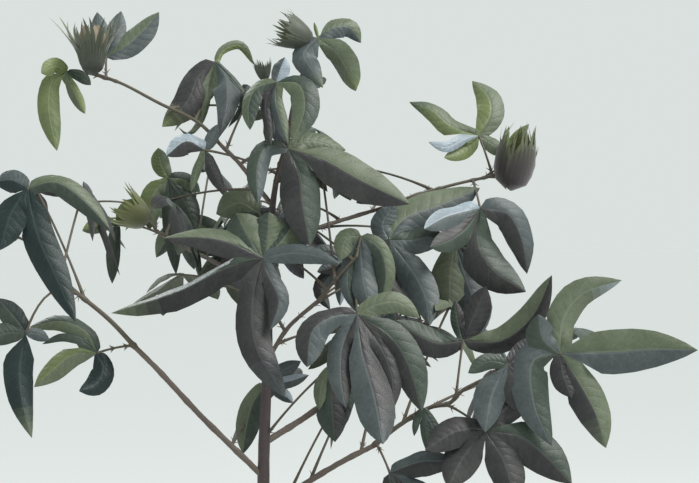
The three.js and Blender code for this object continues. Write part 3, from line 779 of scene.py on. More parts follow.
# A leaf's clear is how far the limb's bark lies from its start, aside how far its stalk bows, and whorl the
# share of the stalk where stipules stand round it.
def leafOf(start, hub, lobes, clear=3.2, aside=0.0, whorl=None):
    return {"start": start, "hub": hub, "lobes": lobes, "clear": clear, "aside": aside, "whorl": whorl}


def whorlOf(pile, place, way):  # small pointed stipules round a stalk
    row = stalks["whorl"]
    across = unit(np.cross(way, [0.31, 0.17, 0.93]))
    beside = np.cross(way, across)
    for k in range(row["count"]):
        angle = 2 * math.pi * (k + 0.3) / row["count"]
        aim = unit(way + (across * math.cos(angle) + beside * math.sin(angle)) * row["spread"])
        end = place + aim * row["length"]
        tube(pile, bowedCourse(place, (place + end) / 2 + way * row["lift"], end), row["radii"], 4, 3)


def stalk(pile, start, end, clear=None, aside=0.0, whorl=None):  # with stipules where it leaves the bark
    reach = np.linalg.norm(end - start)
    middle = (start + end) / 2 + up * reach * stalks["bow"] + aside
    course = bowedCourse(start, middle, end)
    tube(pile, course, stalks["radii"], stalks["sides"], stalks["steps"])
    if clear and clear < 0.5 * reach:
        whorlOf(pile, course(clear / reach), unit(end - start))
    if whorl:
        whorlOf(pile, course(whorl), unit(end - start))


# Flower buds, in shares of their length, with the spread of a bract in degrees to each side
bud = {
    "bracts": 3, "spread": 66, "ridge": 0.02, "thickness": 0.012, "heights": [0, 0.05, 0.18, 0.4, 0.7, 1.0],
    "narrow": [[0, 0.1, 0.3, 1], [0.5, 0.95, 1, 0.95]], "rows": [0.0, 0.2, 0.45, 0.75, 1.0],
    "arch": 1.8, "toothRows": [0.3, 0.6, 0.85], "taper": 1.6, "drift": 0.32, "uneven": [0.82, 1.06],
    "petals": {"sides": 20, "folds": 5, "depth": 0.25, "twist": 2.4, "foot": 0.02, "rim": 0.1},
}
budKinds = {
    "closed": {
        "radii": [0.05, 0.15, 0.24, 0.32, 0.39, 0.43], "flare": [-0.1, 0.12], "curl": [-0.25, 0.25],
        "teeth": 12, "notch": [0.42, 0.66], "tips": [0.72, 1.0], "width": 0.95,
        "petals": [0.04, 0.12, 0.17, 0.18, 0.16, 0.12, 0.05], "tall": 0.46, "finishes": [0, 1, 2],
    },
    "open": {
        "radii": [0.05, 0.14, 0.20, 0.25, 0.44, 0.62], "flare": [-0.1, 0.25], "curl": [-0.4, 0.3],
        "teeth": 13, "notch": [0.34, 0.52], "tips": [0.7, 0.95], "width": 1.1,
        "petals": [0.03, 0.09, 0.13, 0.16, 0.19, 0.20, 0.16], "tall": 0.72, "finishes": [0, 1, 3],
    },
    "young": {
        "radii": [0.06, 0.2, 0.3, 0.38, 0.46, 0.5], "flare": [0.0, 0.4], "curl": [-0.35, 0.4],
        "teeth": 10, "notch": [0.4, 0.58], "tips": [0.66, 1.0], "width": 1.0,
        "petals": [0.04, 0.12, 0.17, 0.18, 0.16, 0.12, 0.05], "tall": 0.46, "finishes": [4, 5, 4],
    },
    "brown": {
        "radii": [0.05, 0.18, 0.26, 0.29, 0.24, 0.15], "flare": [-0.15, 0.2], "curl": [-0.5, 0.6],
        "teeth": 9, "notch": [0.44, 0.66], "tips": [0.76, 1.0], "width": 1.1,
        "petals": [0.04, 0.12, 0.17, 0.18, 0.16, 0.12, 0.05], "tall": 0.46, "finishes": [6, 5, 4],
    },
}


def bractPlace(kind, across, height, centre, layer, flare):  # across is -1 to 1, height 0 to 1
    radius = np.interp(height, bud["heights"], kind["radii"]) * (1 + flare * height ** 2) + layer
    angle = radians(centre + across * np.interp(height, *bud["narrow"]) * bud["spread"])
    return np.array([math.cos(angle) * radius, math.sin(angle) * radius, height])


def bractOf(pile, kind, centre, laid, flare, random):  # a closed shell of two sheets, and its teeth
    teeth, half = kind["teeth"], bud["thickness"] / 2
    count = 2 * teeth + 1
    across = np.linspace(-1, 1, count)
    arched = 1 - np.abs(across) ** bud["arch"]
    notch = mixed(*kind["notch"], arched)
    rows = bud["rows"]
    places, surface = [], []
    groups = {(under, corners): [] for under in (0, 1) for corners in (3, 4)}

    def keep(place, u, v):
        places.append(place)
        surface.append((u, v))
        return len(places) - 1

    def face(under, *corners):
        groups[under, len(corners)].append(corners[::-1] if under else corners)

    sheets = [np.zeros((len(rows), count), int), np.zeros((len(rows), count), int)]
    for r, share in enumerate(rows):
        for c in range(count):
            rim = r == 0 or c in (0, count - 1)
            ridge = 0.0 if c % 2 else bud["ridge"] * share
            for under, layer in ((0, half), (1, -half)):
                if rim and under:
                    sheets[1][r, c] = sheets[0][r, c]
                    continue
                layer = (0 if rim else layer) - ridge
                place = bractPlace(kind, across[c], share * notch[c], centre, layer, flare)
                sheets[under][r, c] = keep(place, 1 - c % 2, share * 0.5)
    for under, sheet in enumerate(sheets):
        for r in range(len(rows) - 1):
            for c in range(count - 1):
                face(under, sheet[r, c], sheet[r, c + 1], sheet[r + 1, c + 1], sheet[r + 1, c])
    for k in range(teeth):
        middle = 2 * k + 1
        length = mixed(*kind["tips"], arched[middle]) * mixed(*bud["uneven"], next(random))
        drift = (next(random) - 0.5) * bud["drift"]
        curl = flare + mixed(*kind["curl"], next(random))
        before = [[sheet[-1, middle + step] for step in (-1, 0, 1)] for sheet in sheets]
        for level in bud["toothRows"]:
            wide = (1 - level ** bud["taper"]) / teeth * kind["width"]
            height = mixed(notch[middle], length, level)
            at = across[middle] + drift * level
            bend, v = mixed(flare, curl, level), mixed(0.5, 1, level)
            left, right = (
                keep(bractPlace(kind, at + side * wide, height, centre, 0, bend), 1, v) for side in (-1, 1)
            )
            for under, layer in ((0, half), (1, -half)):
                place = bractPlace(kind, at, height, centre, layer * (1 - level), bend)
                now = [left, keep(place, 0, v), right]
                was = before[under]
                face(under, was[0], was[1], now[1], now[0])
                face(under, was[1], was[2], now[2], now[1])
                before[under] = now
        tip = keep(bractPlace(kind, across[middle] + drift, length, centre, 0, curl), 0, 1)
        for under in (0, 1):
            face(under, before[under][0], before[under][1], tip)
            face(under, before[under][1], before[under][2], tip)
    base = pile.count
    pile.places.append(laid(np.array(places)))
    pile.surfaces.append(np.array(surface))
    pile.count += len(places)
    for (under, corners), group in groups.items():
        pile.faces.append(np.array(group) + base)
        pile.finishes.append(np.full(len(group), kind["finishes"][under]))


def budOf(pile, base, way, size, kind, random):  # three bracts round folded petals
    side = unit(np.cross(way, [0.2, 0.9, 0.31]))
    other = np.cross(way, side)
    apart = 360 / bud["bracts"]
    spin = next(random) * apart

    def laid(places):
        return base + (places[:, :1] * side + places[:, 1:2] * other + places[:, 2:] * way) * size

    for k in range(bud["bracts"]):
        bractOf(pile, kind, spin + apart * k, laid, mixed(*kind["flare"], next(random)), random)
    petals, rows, tall = bud["petals"], len(kind["petals"]), kind["tall"]
    sides, folds = petals["sides"], petals["folds"]
    angles = np.arange(sides) * 2 * math.pi / sides
    places = []
    for row, radius in enumerate(kind["petals"]):
        share = row / (rows - 1)
        reach = radius * (1 + petals["depth"] * share * np.cos(folds * angles + share * petals["twist"]))
        height = share * tall + petals["foot"] + tall * petals["rim"] * share * np.cos(folds * angles)
        places.append(np.stack([np.cos(angles) * reach, np.sin(angles) * reach, height], axis=1))
    places = np.concatenate(places + [[[0, 0, 0.0], [0, 0, tall]]])
    i, j = np.meshgrid(np.arange(rows - 1), np.arange(sides), indexing="ij")
    a, b = (i * sides + j).ravel(), (i * sides + (j + 1) % sides).ravel()
    k = np.arange(sides)
    start, end = rows * sides, rows * sides + 1
    caps = np.concatenate([
        np.stack([np.full(sides, start), (k + 1) % sides, k], axis=1),
        np.stack([np.full(sides, end), (rows - 1) * sides + k, (rows - 1) * sides + (k + 1) % sides], axis=1),
    ])
    surface = np.ones((end + 1, 2))
    sideFaces = np.stack([a, b, b + sides, a + sides], axis=1)
    pile.add(laid(places), surface, [sideFaces, caps], kind["finishes"][2])


budSkin = {"veinEdge": 0.35, "veinShare": 0.25, "patchShare": 0.5, "sheen": 0.25, "bump": (0.4, 0.0005)}


def budMaterial(name, low, high, vein, rough, climbs=(0.1, 0.8)):  # low is the colour at the foot
    material, tree, shader = newMaterial(name)
    surface = node(tree, "UVMap", uv_map="surface")
    parts = node(tree, "SeparateXYZ", {0: surface.outputs[0]})
    grain = tree.nodes.new("ShaderNodeGroup")
    grain.node_tree = grainGroup
    colour = blended(tree, ranged(tree, parts.outputs[1], climbs, (0.0, 1.0)), low, high)
    ribbed = ranged(tree, parts.outputs[0], (0.0, budSkin["veinEdge"]), (budSkin["veinShare"], 0.0))
    colour = blended(tree, ribbed, colour, vein)
    patch = maths(tree, "MULTIPLY", grain.outputs["Patches"], budSkin["patchShare"])
    tree.links.new(blended(tree, patch, colour, low), shader.inputs["Base Color"])
    shader.inputs["Roughness"].default_value = rough
    shader.inputs["Sheen Weight"].default_value = budSkin["sheen"]
    bumped(tree, shader, grain.outputs["Grain"], *budSkin["bump"])
    return material


budMaterials = [
    budMaterial("bract outside", (0.028, 0.034, 0.025), (0.102, 0.118, 0.078), (0.15, 0.17, 0.10), 0.5),
    budMaterial("bract inside", (0.045, 0.052, 0.034), (0.120, 0.140, 0.064), (0.17, 0.19, 0.10), 0.55),
    budMaterial("closed petals", (0.10, 0.12, 0.06), (0.20, 0.22, 0.11), (0.24, 0.25, 0.13), 0.5),
    budMaterial("opening petals", (0.12, 0.11, 0.07), (0.24, 0.19, 0.125), (0.28, 0.22, 0.15), 0.5),
    budMaterial("young bract outside", (0.090, 0.100, 0.045), (0.215, 0.235, 0.085), (0.26, 0.28, 0.12), 0.5),
    budMaterial("young bract inside", (0.085, 0.098, 0.046), (0.190, 0.215, 0.085), (0.24, 0.26, 0.12), 0.55),
    budMaterial(
        "brown bract outside", (0.026, 0.018, 0.021), (0.105, 0.125, 0.060), (0.10, 0.11, 0.06), 0.5,
        climbs=(0.34, 0.72),
    ),
]

# The upper crown, as the front view shows it

# Leaves and buds stand at [right, down, back]: points of the view from its upper left corner, and millimetres
# behind the plane of the stem. A lobe has the points that its middle line runs through after the hub, its
# half width in points, how many millimetres nearer its tip is, its roll and fold in degrees, and its tones.
# The nearing says how late along a lobe its tip comes forward.
view = {"middle": 265, "height": 483, "scale": 0.65, "nearing": 1.2}

viewBoughs = [
    {
        "name": "upper_left", "height": 180, "radii": [1.6, 1.3], "shootRadii": [1.25, 0.95],
        "course": [[-17, 208, 5], [-29, 220, 9]],
        "shoot": [[-43, 234, 12], [-69, 247, 18], [-94, 260, 24], [-106, 264, 26]],
        "leaves": [
            {"at": 0.05, "hub": [215, 62, 34], "aside": [10, 46, 0], "lobes": [
                [[199, 77, 189, 100, 162, 127], 17, 20, 0, -20, "ppy"],
                [[209, 86, 206, 104, 199, 123, 188, 134, 178, 127], 4, 26, 0, -20, "ffd"],
                [[225, 76, 228, 100, 219, 138], 17, 36, -5, -22, "bbp", 0.45],
                [[236, 84, 244, 102, 228, 128], 5, 4, 0, -20, "dd"],
                [[223, 50, 240, 45, 254, 65], 5, -14, 26, -20, "yf"],
            ]},
            {"at": 0.99, "hub": [67, 72, 22], "lobes": [
                [[56, 66, 41, 73], 9, 26, 0, -20, "yy"],
                [[53, 80, 49, 106, 57, 151], 12, 12, -6, -20, "yy"],
                [[73, 90, 79, 102, 85, 114], 7, 12, 0, -25, "fyy"],
                [[80, 76, 91, 85], 6, 14, 0, -10, "dd"],
            ]},
            {"at": 0.97, "hub": [106, 57, 36], "lobes": [
                [[126, 46, 144, 30, 159, 12], 14, -14, 5, -18, "bf"],
                [[113, 36, 121, 11], 12, -18, 0, -18, "bb"],
                [[100, 36, 97, 12], 11, -18, 0, -18, "bb"],
            ]},
        ],
        "buds": [{"at": 0.9, "base": [93, 75, 25], "turn": 92, "lean": 8, "size": 40, "kind": "open"}],
    },
    {
        "name": "upper_right", "height": 154, "radii": [1.5, 1.25], "shootRadii": [1.2, 1.0],
        "course": [[38, 167, 24], [77, 179, 36]],
        "shoot": [[92, 185, 40], [123, 194, 46], [150, 200, 50]],
        "leaves": [
            {"at": 0.05, "hub": [389, 240, 14], "lobes": [
                [[381, 262, 390, 288, 410, 306], 14, 14, 0, -22, "pp"],
                [[406, 262, 424, 292, 430, 326], 17, 24, 8, -22, "bb"],
                [[412, 240, 430, 237, 450, 243], 15, 0, 0, -20, "bd"],
                [[404, 219, 440, 205, 480, 188], 21, -26, 4, -18, "bf"],
                [[383, 224, 396, 204], 14, -8, 0, -20, "bb"],
            ]},
            {"at": 0.8, "hub": [480, 208, 26], "lobes": [
                [[463, 212, 445, 217, 424, 229], 15, 26, 24, -30, "wb"],
                [[466, 228, 450, 240, 430, 247], 14, 34, 0, -22, "pd"],
                [[477, 240, 492, 268, 526, 292], 23, 10, 5, -24, "pd"],
                [[508, 214, 522, 240, 527, 274], 17, 0, 8, -24, "pbp", 0.85],
            ]},
            {"at": 0.97, "hub": [479, 136, 58], "lobes": [
                [[491, 113, 488, 96, 472, 81], 15, -22, 0, -18, "fy"],
                [[451, 126, 432, 110, 409, 102], 12, -8, 5, -20, "fyd"],
                [[462, 140, 446, 147, 428, 142], 6, 20, -20, -10, "ww"],
                [[467, 148, 456, 154, 444, 158], 9, 12, 0, -20, "yy"],
                [[492, 144, 506, 156], 9, 8, 0, -20, "ff"],
            ]},
            {"at": 0.9, "hub": [497, 170, 62], "lobes": [
                [[510, 154, 518, 138, 529, 124], 8, -6, 0, -18, "fy"],
                [[502, 154, 506, 140, 509, 126], 4, -2, 0, -18, "yy"],
            ]},
            {"at": 0.5, "hub": [456, 244, 62], "lobes": [
                [[451, 274, 450, 307], 20, 14, 0, -20, "ff", 1.2],
                [[468, 284, 478, 308, 479, 338], 20, 12, 0, -22, "bb"],
                [[486, 258, 506, 284], 16, 0, 0, -20, "pd"],
            ]},
        ],
        "buds": [{"at": 0.98, "base": [509, 190, 50], "turn": 79, "lean": 12, "size": 46, "kind": "brown"}],
    },
    {
        "name": "middle_right", "height": 80, "radii": [1.5, 1.2], "shootRadii": [1.15, 0.9],
        "course": [[15, 101, -11], [34, 118, -18]],
        "shoot": [[51, 138, -22], [60, 148, -22]],
        "leaves": [
            {"at": 0.5, "hub": [345, 262, 12], "lobes": [
                [[330, 253, 306, 253], 9, 4, 0, -18, "bb"],
                [[334, 266, 317, 272], 7, 8, 0, -20, "bp"],
                [[330, 276, 321, 290, 330, 310], 9, 8, 0, -24, "pb"],
                [[342, 282, 340, 306], 7, 4, 0, -24, "bw"],
            ]},
            {"at": 0.98, "hub": [361, 236, -18], "lobes": [
                [[347, 238, 341, 260], 11, 6, 0, -18, "ff"],
                [[350, 262, 348, 288, 356, 312], 9, 8, 0, -22, "bd"],
                [[362, 268, 366, 292, 372, 318], 15, 16, 0, -24, "bb"],
                [[378, 246, 386, 272, 380, 308], 11, 8, 0, -24, "df"],
            ]},
            {"at": 0.4, "hub": [357, 314, -52], "aside": [8, 60, 10], "lobes": [
                [[334, 316, 313, 330, 307, 367], 17, 18, 10, -24, "pb", 1.5],
                [[343, 345, 341, 376, 346, 408], 15, 18, 0, -24, "bp"],
                [[362, 350, 375, 398, 383, 444], 22, 36, 0, -26, "bpb", 1.6],
                [[380, 345, 392, 375, 394, 408], 14, 14, 0, -24, "pp"],
                [[390, 336, 409, 366, 422, 412], 20, 12, 8, -24, "pd"],
                [[378, 304, 398, 302, 420, 318], 12, -6, 0, -18, "ff"],
            ]},
        ],
        "buds": [],
    },
    {
        "name": "lower_left", "height": 4, "radii": [2.0, 1.65], "shootRadii": [1.6, 1.1],
        "course": [[-43, 45, -13], [-69, 73, -22], [-84, 88, -26]],
        "shoot": [[-101, 106, -32], [-126, 127, -42], [-146, 147, -52], [-153, 162, -58]],
        "leaves": [
            {"at": 0.02, "hub": [97, 353, -30], "whorl": 0.5, "lobes": [
                [[88, 333, 62, 321, 29, 327], 11, -6, 10, -24, "df"],
                [[82, 341, 62, 337, 42, 344], 5, 4, 0, -15, "dd"],
                [[74, 354, 54, 369, 34, 387], 13, 14, 8, -24, "yf"],
                [[104, 368, 96, 384, 79, 391], 13, 16, 0, -22, "nn"],
            ]},
            {"at": 0.45, "hub": [26, 332, -62], "aside": [-4, 0, 26], "lobes": [
                [[14, 316, -2, 298], 13, 0, 0, -20, "nd"],
                [[6, 333, -14, 342], 12, 10, 0, -20, "dd"],
                [[20, 368, 23, 402, 32, 438], 17, 14, 0, -24, "nnf", 0.65],
                [[38, 334, 50, 340], 7, -10, 0, -20, "bb"],
            ]},
            {"at": 0.98, "hub": [28, 188, -66], "lobes": [
                [[12, 180, -6, 182], 13, -6, 0, -20, "bn"],
                [[12, 212, 0, 250], 18, 12, 0, -22, "nn"],
                [[38, 235, 56, 276, 76, 322], 18, 14, 0, -24, "nn", 0.8],
                [[56, 182, 84, 200, 110, 229], 13, 0, -12, -24, "df"],
            ]},
        ],
        "buds": [{"at": 0.9, "base": [19, 237, -50], "turn": 170, "lean": 20, "size": 14, "kind": "closed"}],
    },
    {
        "name": "lower_right", "height": -18, "radii": [2.1, 1.7], "shootRadii": [1.65, 1.0],
        "course": [[30, 2, -12], [52, 15, -17], [70, 24, -20]],
        "shoot": [
            [88, 38, -23], [107, 49, -25], [120, 52, -27], [128, 60, -28], [143, 68, -30], [154, 76, -31],
        ],
        "leaves": [
            {"at": 0.03, "hub": [390, 473, -36], "lobes": [
                [[392, 500, 395, 532], 14, 30, 0, -24, "pd"],
                [[418, 494, 446, 514], 16, 30, 0, -24, "pb"],
                [[420, 462, 456, 462], 15, 16, 0, -22, "pb"],
            ]},
            {"at": 0.32, "hub": [423, 408, -34], "lobes": [
                [[417, 420, 414, 436], 4, 4, 0, -20, "dd"],
                [[426, 430, 430, 456], 6, 6, 0, -24, "dd"],
                [[432, 424, 444, 448], 7, 4, 0, -24, "bd"],
            ]},
            {"at": 0.56, "hub": [485, 430, -46], "lobes": [
                [[458, 430, 425, 450], 17, 12, 5, -22, "pp"],
                [[464, 456, 448, 488], 20, 14, 0, -22, "pp"],
                [[505, 462, 516, 504], 20, 14, 0, -22, "pp"],
                [[518, 436, 546, 456, 572, 484], 23, 6, 5, -24, "pd"],
                [[504, 410, 524, 396, 548, 394], 18, -12, 8, -22, "pp"],
            ]},
            {"at": 0.64, "hub": [463, 340, -14], "lobes": [
                [[500, 341, 531, 318, 552, 275], 16, 8, 10, -26, "pf"],
                [[475, 314, 486, 286], 15, 2, 0, -20, "pp"],
                [[458, 322, 455, 300], 8, -8, 0, -20, "pd"],
                [[440, 343, 418, 335, 396, 320], 17, 10, 10, -26, "dp"],
            ]},
            {"at": 0.93, "hub": [508, 364, -44], "lobes": [
                [[489, 361, 468, 373], 9, 6, 0, -20, "dd"],
                [[493, 392, 485, 432], 18, 12, 0, -24, "bb"],
                [[520, 388, 536, 414], 20, 2, 0, -22, "pp"],
                [[524, 352, 536, 336], 12, -10, 0, -20, "pp"],
            ]},
            {"at": 0.99, "hub": [560, 353, -42], "lobes": [
                [[534, 360, 534, 402, 552, 446], 21, 14, 0, -24, "bd", 0.8],
                [[564, 376, 572, 398], 14, 4, 0, -22, "pp"],
                [[580, 384, 596, 414, 606, 448], 20, 8, 0, -22, "pff"],
                [[612, 352, 655, 349, 698, 350], 23, 6, 4, -12, "bf", 0.85],
                [[564, 318, 582, 294, 622, 280], 18, -8, 12, -24, "ffwf", 0.8],
                [[543, 339, 538, 314], 16, 8, 0, -22, "bd"],
            ]},
        ],
        "buds": [],
    },
    {
        "name": "back_left", "height": 122, "radii": [1.8, 1.4], "shootRadii": [1.4, 1.0],
        "course": [[-22, 138, 40], [-50, 152, 80]],
        "shoot": [[-62, 159, 98], [-72, 166, 112], [-70, 182, 122]],
        "leaves": [
            {"at": 0.98, "hub": [168, 178, 118], "lobes": [
                [[161, 164, 158, 148], 10, 6, 0, -20, "fy"],
                [[154, 194, 149, 230], 13, 10, 0, -24, "yf"],
                [[172, 226, 176, 275], 10, 6, 0, -24, "dd"],
                [[184, 200, 196, 230], 14, 6, 0, -24, "dd"],
                [[184, 180, 200, 192], 9, 0, 0, -24, "fd"],
            ]},
            {"at": 0.5, "hub": [116, 222, 112], "lobes": [
                [[127, 212, 141, 199], 10, 0, 0, -20, "yy"],
                [[100, 225, 82, 231], 9, 8, 0, -20, "yf"],
                [[114, 250, 112, 284], 8, 6, 0, -24, "dd"],
            ]},
            {"at": 0.3, "hub": [188, 218, 142], "lobes": [
                [[168, 238, 156, 258], 11, -12, 0, -20, "fd"],
                [[190, 246, 194, 270], 11, -12, 0, -20, "dd"],
                [[210, 230, 230, 240], 11, -14, 0, -20, "fd"],
            ]},
        ],
        "buds": [
            {"at": 0.6, "base": [149, 222, 108], "turn": 150, "lean": 10, "size": 27, "kind": "young"},
        ],
    },
]

viewStemLeaves = [
    {"name": "right_of_tip", "height": 192, "hub": [288, 149, -22], "lobes": [
        [[267, 147, 258, 166, 258, 204], 12, 22, 0, -24, "db"],
        [[299, 172, 303, 204, 310, 246], 23, 14, 0, -26, "pd"],
        [[322, 159, 362, 181, 410, 204], 22, 8, 14, -22, "pf"],
        [[310, 141, 346, 150], 13, -12, 0, -18, "ff"],
    ]},
    {"name": "left_of_tip", "height": 201, "hub": [205, 150, -6], "lobes": [
        [[187, 141, 166, 156], 14, 8, 16, -30, "wp"],
        [[197, 170, 191, 192], 5, 6, 0, -24, "ff"],
        [[212, 168, 224, 194], 8, 4, 0, -28, "pp"],
        [[212, 138, 218, 124], 7, -4, 0, -20, "bb"],
    ]},
    {"name": "front", "height": 142, "hub": [263, 258, -34], "lobes": [
        [[282, 240, 296, 219], 15, -10, 0, -16, "fd", 1.4],
        [[268, 236, 269, 212], 19, -8, 0, -14, "fd", 1.5],
        [[248, 236, 236, 213], 21, -6, 0, -14, "fd", 1.5],
        [[232, 243, 200, 237, 163, 238], 17, 8, 10, -26, "fp", 0.6],
        [[226, 268, 180, 291, 111, 313], 18, 14, 32, -34, "dkff", 1.05],
        [[253, 300, 256, 345, 286, 398], 19, 20, 0, -26, "ppb"],
        [[270, 278, 279, 300, 270, 330], 12, 12, 0, -24, "pb"],
        [[290, 253, 314, 255, 340, 264], 11, 10, 0, -22, "bb", 0.8],
    ]},
    {"name": "round_left", "height": 160, "hub": [259, 213, 12], "lobes": [
        [[240, 203, 216, 214], 18, 2, 0, -20, "ff", 0.9],
        [[240, 222, 226, 241], 10, 6, 0, -24, "dd"],
        [[264, 226, 268, 242], 9, 6, 0, -18, "dd"],
    ]},
    {"name": "low_left", "height": 50, "hub": [267, 384, 15], "lobes": [
        [[253, 403, 246, 430, 243, 454], 14, 10, 0, -24, "fd"],
        [[283, 394, 293, 403], 7, 6, 0, -20, "bw"],
        [[286, 382, 309, 375], 7, 2, 0, -20, "bw"],
        [[282, 371, 301, 361], 9, -4, 0, -20, "bb"],
    ]},
    {"name": "low_right", "height": 29, "hub": [332, 366, -16], "lobes": [
        [[322, 384, 319, 410], 8, 6, 0, -24, "ff"],
        [[332, 402, 335, 442], 19, 10, 0, -26, "dp"],
        [[344, 384, 351, 412], 9, 4, 0, -24, "pd"],
    ]},
]

crownTip = {
    "shootRadii": [1.4, 0.9],
    "shoot": [[17, 240, 0], [23, 263, 2], [33, 286, 2]],
    "leaves": [
        {"at": 0.05, "hub": [276, 82, -18], "lobes": [
            [[257, 88, 249, 104, 250, 130], 11, 10, 5, -26, "fd"],
            [[266, 104, 268, 124, 271, 146], 6, 14, 0, -26, "pp"],
            [[276, 102, 281, 122, 288, 144], 8, 20, 0, -26, "bf"],
            [[299, 84, 305, 108, 292, 143], 16, 22, -8, -24, "fdff", 0.85],
            [[281, 67, 285, 57], 10, -4, 0, -18, "wb"],
        ]},
        {"at": 0.99, "hub": [318, 38, 0], "lobes": [
            [[304, 54, 311, 68, 323, 88], 14, 24, 0, -24, "bbf", 0.6],
            [[335, 51, 347, 70, 356, 91], 15, 24, 34, -26, "ffy"],
            [[333, 28, 349, 27, 361, 43], 12, -8, 5, -22, "bf"],
            [[316, 30, 314, 22], 2, -2, 0, -20, "yy"],
        ]},
    ],
    "buds": [
        {"at": 0.97, "base": [313, 43, 4], "turn": 155, "lean": 10, "size": 30, "kind": "closed"},
        {"at": 0.5, "base": [265, 81, 4], "turn": 100, "lean": 0, "size": 15, "kind": "closed"},
    ],
}

# Masses that grow by the rule
goldenAngle = 137.5
lower = {
    "count": 8, "topHeight": 512, "spacing": 48, "firstTurn": 253, "rise": 14,
    "bare": [82, 138], "radii": [[3.0, 2.2], [4.0, 2.8]], "space": [110, 130], "leafSize": [84, 96],
    "firstSeed": 40,
}
behind = {  # none of its leaves stands in the parts of the front view listed under sky
    "name": "behind", "height": viewFoot + 26, "turn": 46, "rise": 26,
    "bare": 112, "radii": [2.2, 1.7], "space": 84, "leafSize": 56, "seed": 11,
    "sky": [[422, 350, 480, 404], [486, 288, 526, 328], [424, 250, 448, 274], [432, 305, 458, 327]],
}
boughSag = 0.04
growth = {
    "internodes": 4, "zigzag": 16, "lift": 0.14, "run": 0.7, "shootTip": 1.2,
    "twigFrom": [0.22, 0.5], "twigSwing": [40, 62], "twigRise": [22, 48], "twigReach": 0.8, "twigSag": 0.06,
    "twigRadii": [1.5, 1.1],
    "leafPlaces": [[0, 0.12], [0, 0.45], [0, 0.75], [0, 1], [1, 0.5], [1, 1], [2, 0.5], [2, 1], [0, 0.3]],
    "stalk": [0.4, 0.85], "swing": [20, 130], "rise": [-35, 65], "dip": [8, 62], "turnOff": 35, "sag": 0.3,
    "smallest": 0.7, "apart": 0.2, "tries": 40, "tested": (0.5, 1), "budSize": 26, "budLift": 0.6,
}
finer = {  # the twigs and leaves that carry the rule on
    "places": [[0, 0.2], [0, 0.38], [0, 0.6], [0, 0.85], [1, 0.25], [1, 0.75], [2, 0.25], [2, 0.75]],
    "turn": [20, 120], "rise": [-10, 70], "reach": [0.22, 0.42], "within": 0.9, "sag": 0.02,
    "radii": [1.0, 0.7], "leaves": 2, "leavesFrom": 0.55, "size": [0.42, 0.66], "apart": 0.13, "tries": 30,
}
dealing = {  # leaves far out can be young, and the others take their tones by lot
    "youngPast": 1.15, "youngFrom": 0.55, "young": "yyf",
    # the tones dealt include the blue painted sheen and the purple painted shade, here given by lot
    "tones": [[0.22, "bb"], [0.5, "pd"], [0.7, "ddf"], [1, "pb"]],
}
backing = {  # leaves at the back of the upper crown, where the ones in front hide them from the view
    "shares": [0.25, 0.45, 0.65, 0.9], "clear": 3, "stem": [20, 220, 16],
    "turn": [30, 150], "rise": [-5, 60], "reach": [38, 96], "aim": [-20, 200], "dip": [10, 70],
    "size": [40, 58], "hidden": (0.1, 0.9, 9), "tested": (0.3, 0.55, 0.8), "tries": 160, "apart": 7,
    "seed": 90, "tones": ("bb", "pd", "ddf", "pb", "ff"),
}
lowerStemLeaves = {
    "count": 8, "above": 118, "lag": 1.5, "turn": 180, "rise": 25, "dip": 20, "stalk": 46, "size": 60,
    "seed": 77, "tones": ("db", "pd"),
}


def picker(random):  # a function that draws a value between the two of a pair
    return lambda pair: mixed(pair[0], pair[1], next(random))


def marksOf(hub, lobes, shares):  # places along a leaf's lobes that stand for it
    return [hub] + [hub + way * length * share for way, length in lobes for share in shares]


def farFrom(taken, marks, apart):  # whether all the marks keep their distance from the places taken
    held = np.array(taken)
    return not taken or all(np.linalg.norm(held - mark, axis=1).min() > apart for mark in marks)


def fromView(x, y, back):  # a point of the front view, from its upper left corner
    return seen([(x - view["middle"]) * view["scale"], (view["height"] - y) * view["scale"], back])


def inView(place):  # the point of the front view that a place is seen at
    reach = widening(place[1])
    right, height = eye[0] + (place[0] - eye[0]) / reach, eye[2] - viewFoot + (place[2] - eye[2]) / reach
    return view["middle"] + right / view["scale"], view["height"] - height / view["scale"]


def inSky(windows, hub, lobes):  # whether a leaf stands in one of these parts of the front view
    for mark in marksOf(hub, lobes, (0.25, 0.5, 0.75, 1)):
        x, y = inView(mark)
        if any(x0 < x < x1 and y0 < y < y1 for x0, y0, x1, y1 in windows):
            return True
    return False


def viewLobes(hub, rows):
    lobes = []
    for points, half, nearer, roll, fold, tones, *early in rows:
        back = hub[2]
        places = [fromView(*hub)]
        count = len(points) // 2
        for k in range(count):
            depth = back - nearer * ((k + 1) / count) ** view["nearing"]
            places.append(fromView(points[2 * k], points[2 * k + 1], depth))
        length = sum(np.linalg.norm(b - a) for a, b in zip(places, places[1:]))
        course = smoothCourse(places)
        lobes.append(lobeOf(course, length, half * view["scale"] * widening(back), roll, fold, tones, *early))
    return lobes


def viewMass(spec, shoot):  # the limbs, leaves and buds that a row of the view's tables describes
    leaves = [
        leafOf(shoot(row["at"]), fromView(*row["hub"]), viewLobes(row["hub"], row["lobes"]),
               aside=np.array(row.get("aside", [0, 0, 0])), whorl=row.get("whorl"))
        for row in spec["leaves"]
    ]
    buds = [
        {"start": shoot(row["at"]), "base": fromView(*row["base"]), "way": facing(row["turn"], row["lean"]),
         "size": row["size"] * widening(row["base"][2]), "kind": row["kind"]}
        for row in spec["buds"]
    ]
    joints = [row["at"] for row in spec["leaves"] + spec["buds"]]
    return [(shoot, spec["shootRadii"], joints)], leaves, buds


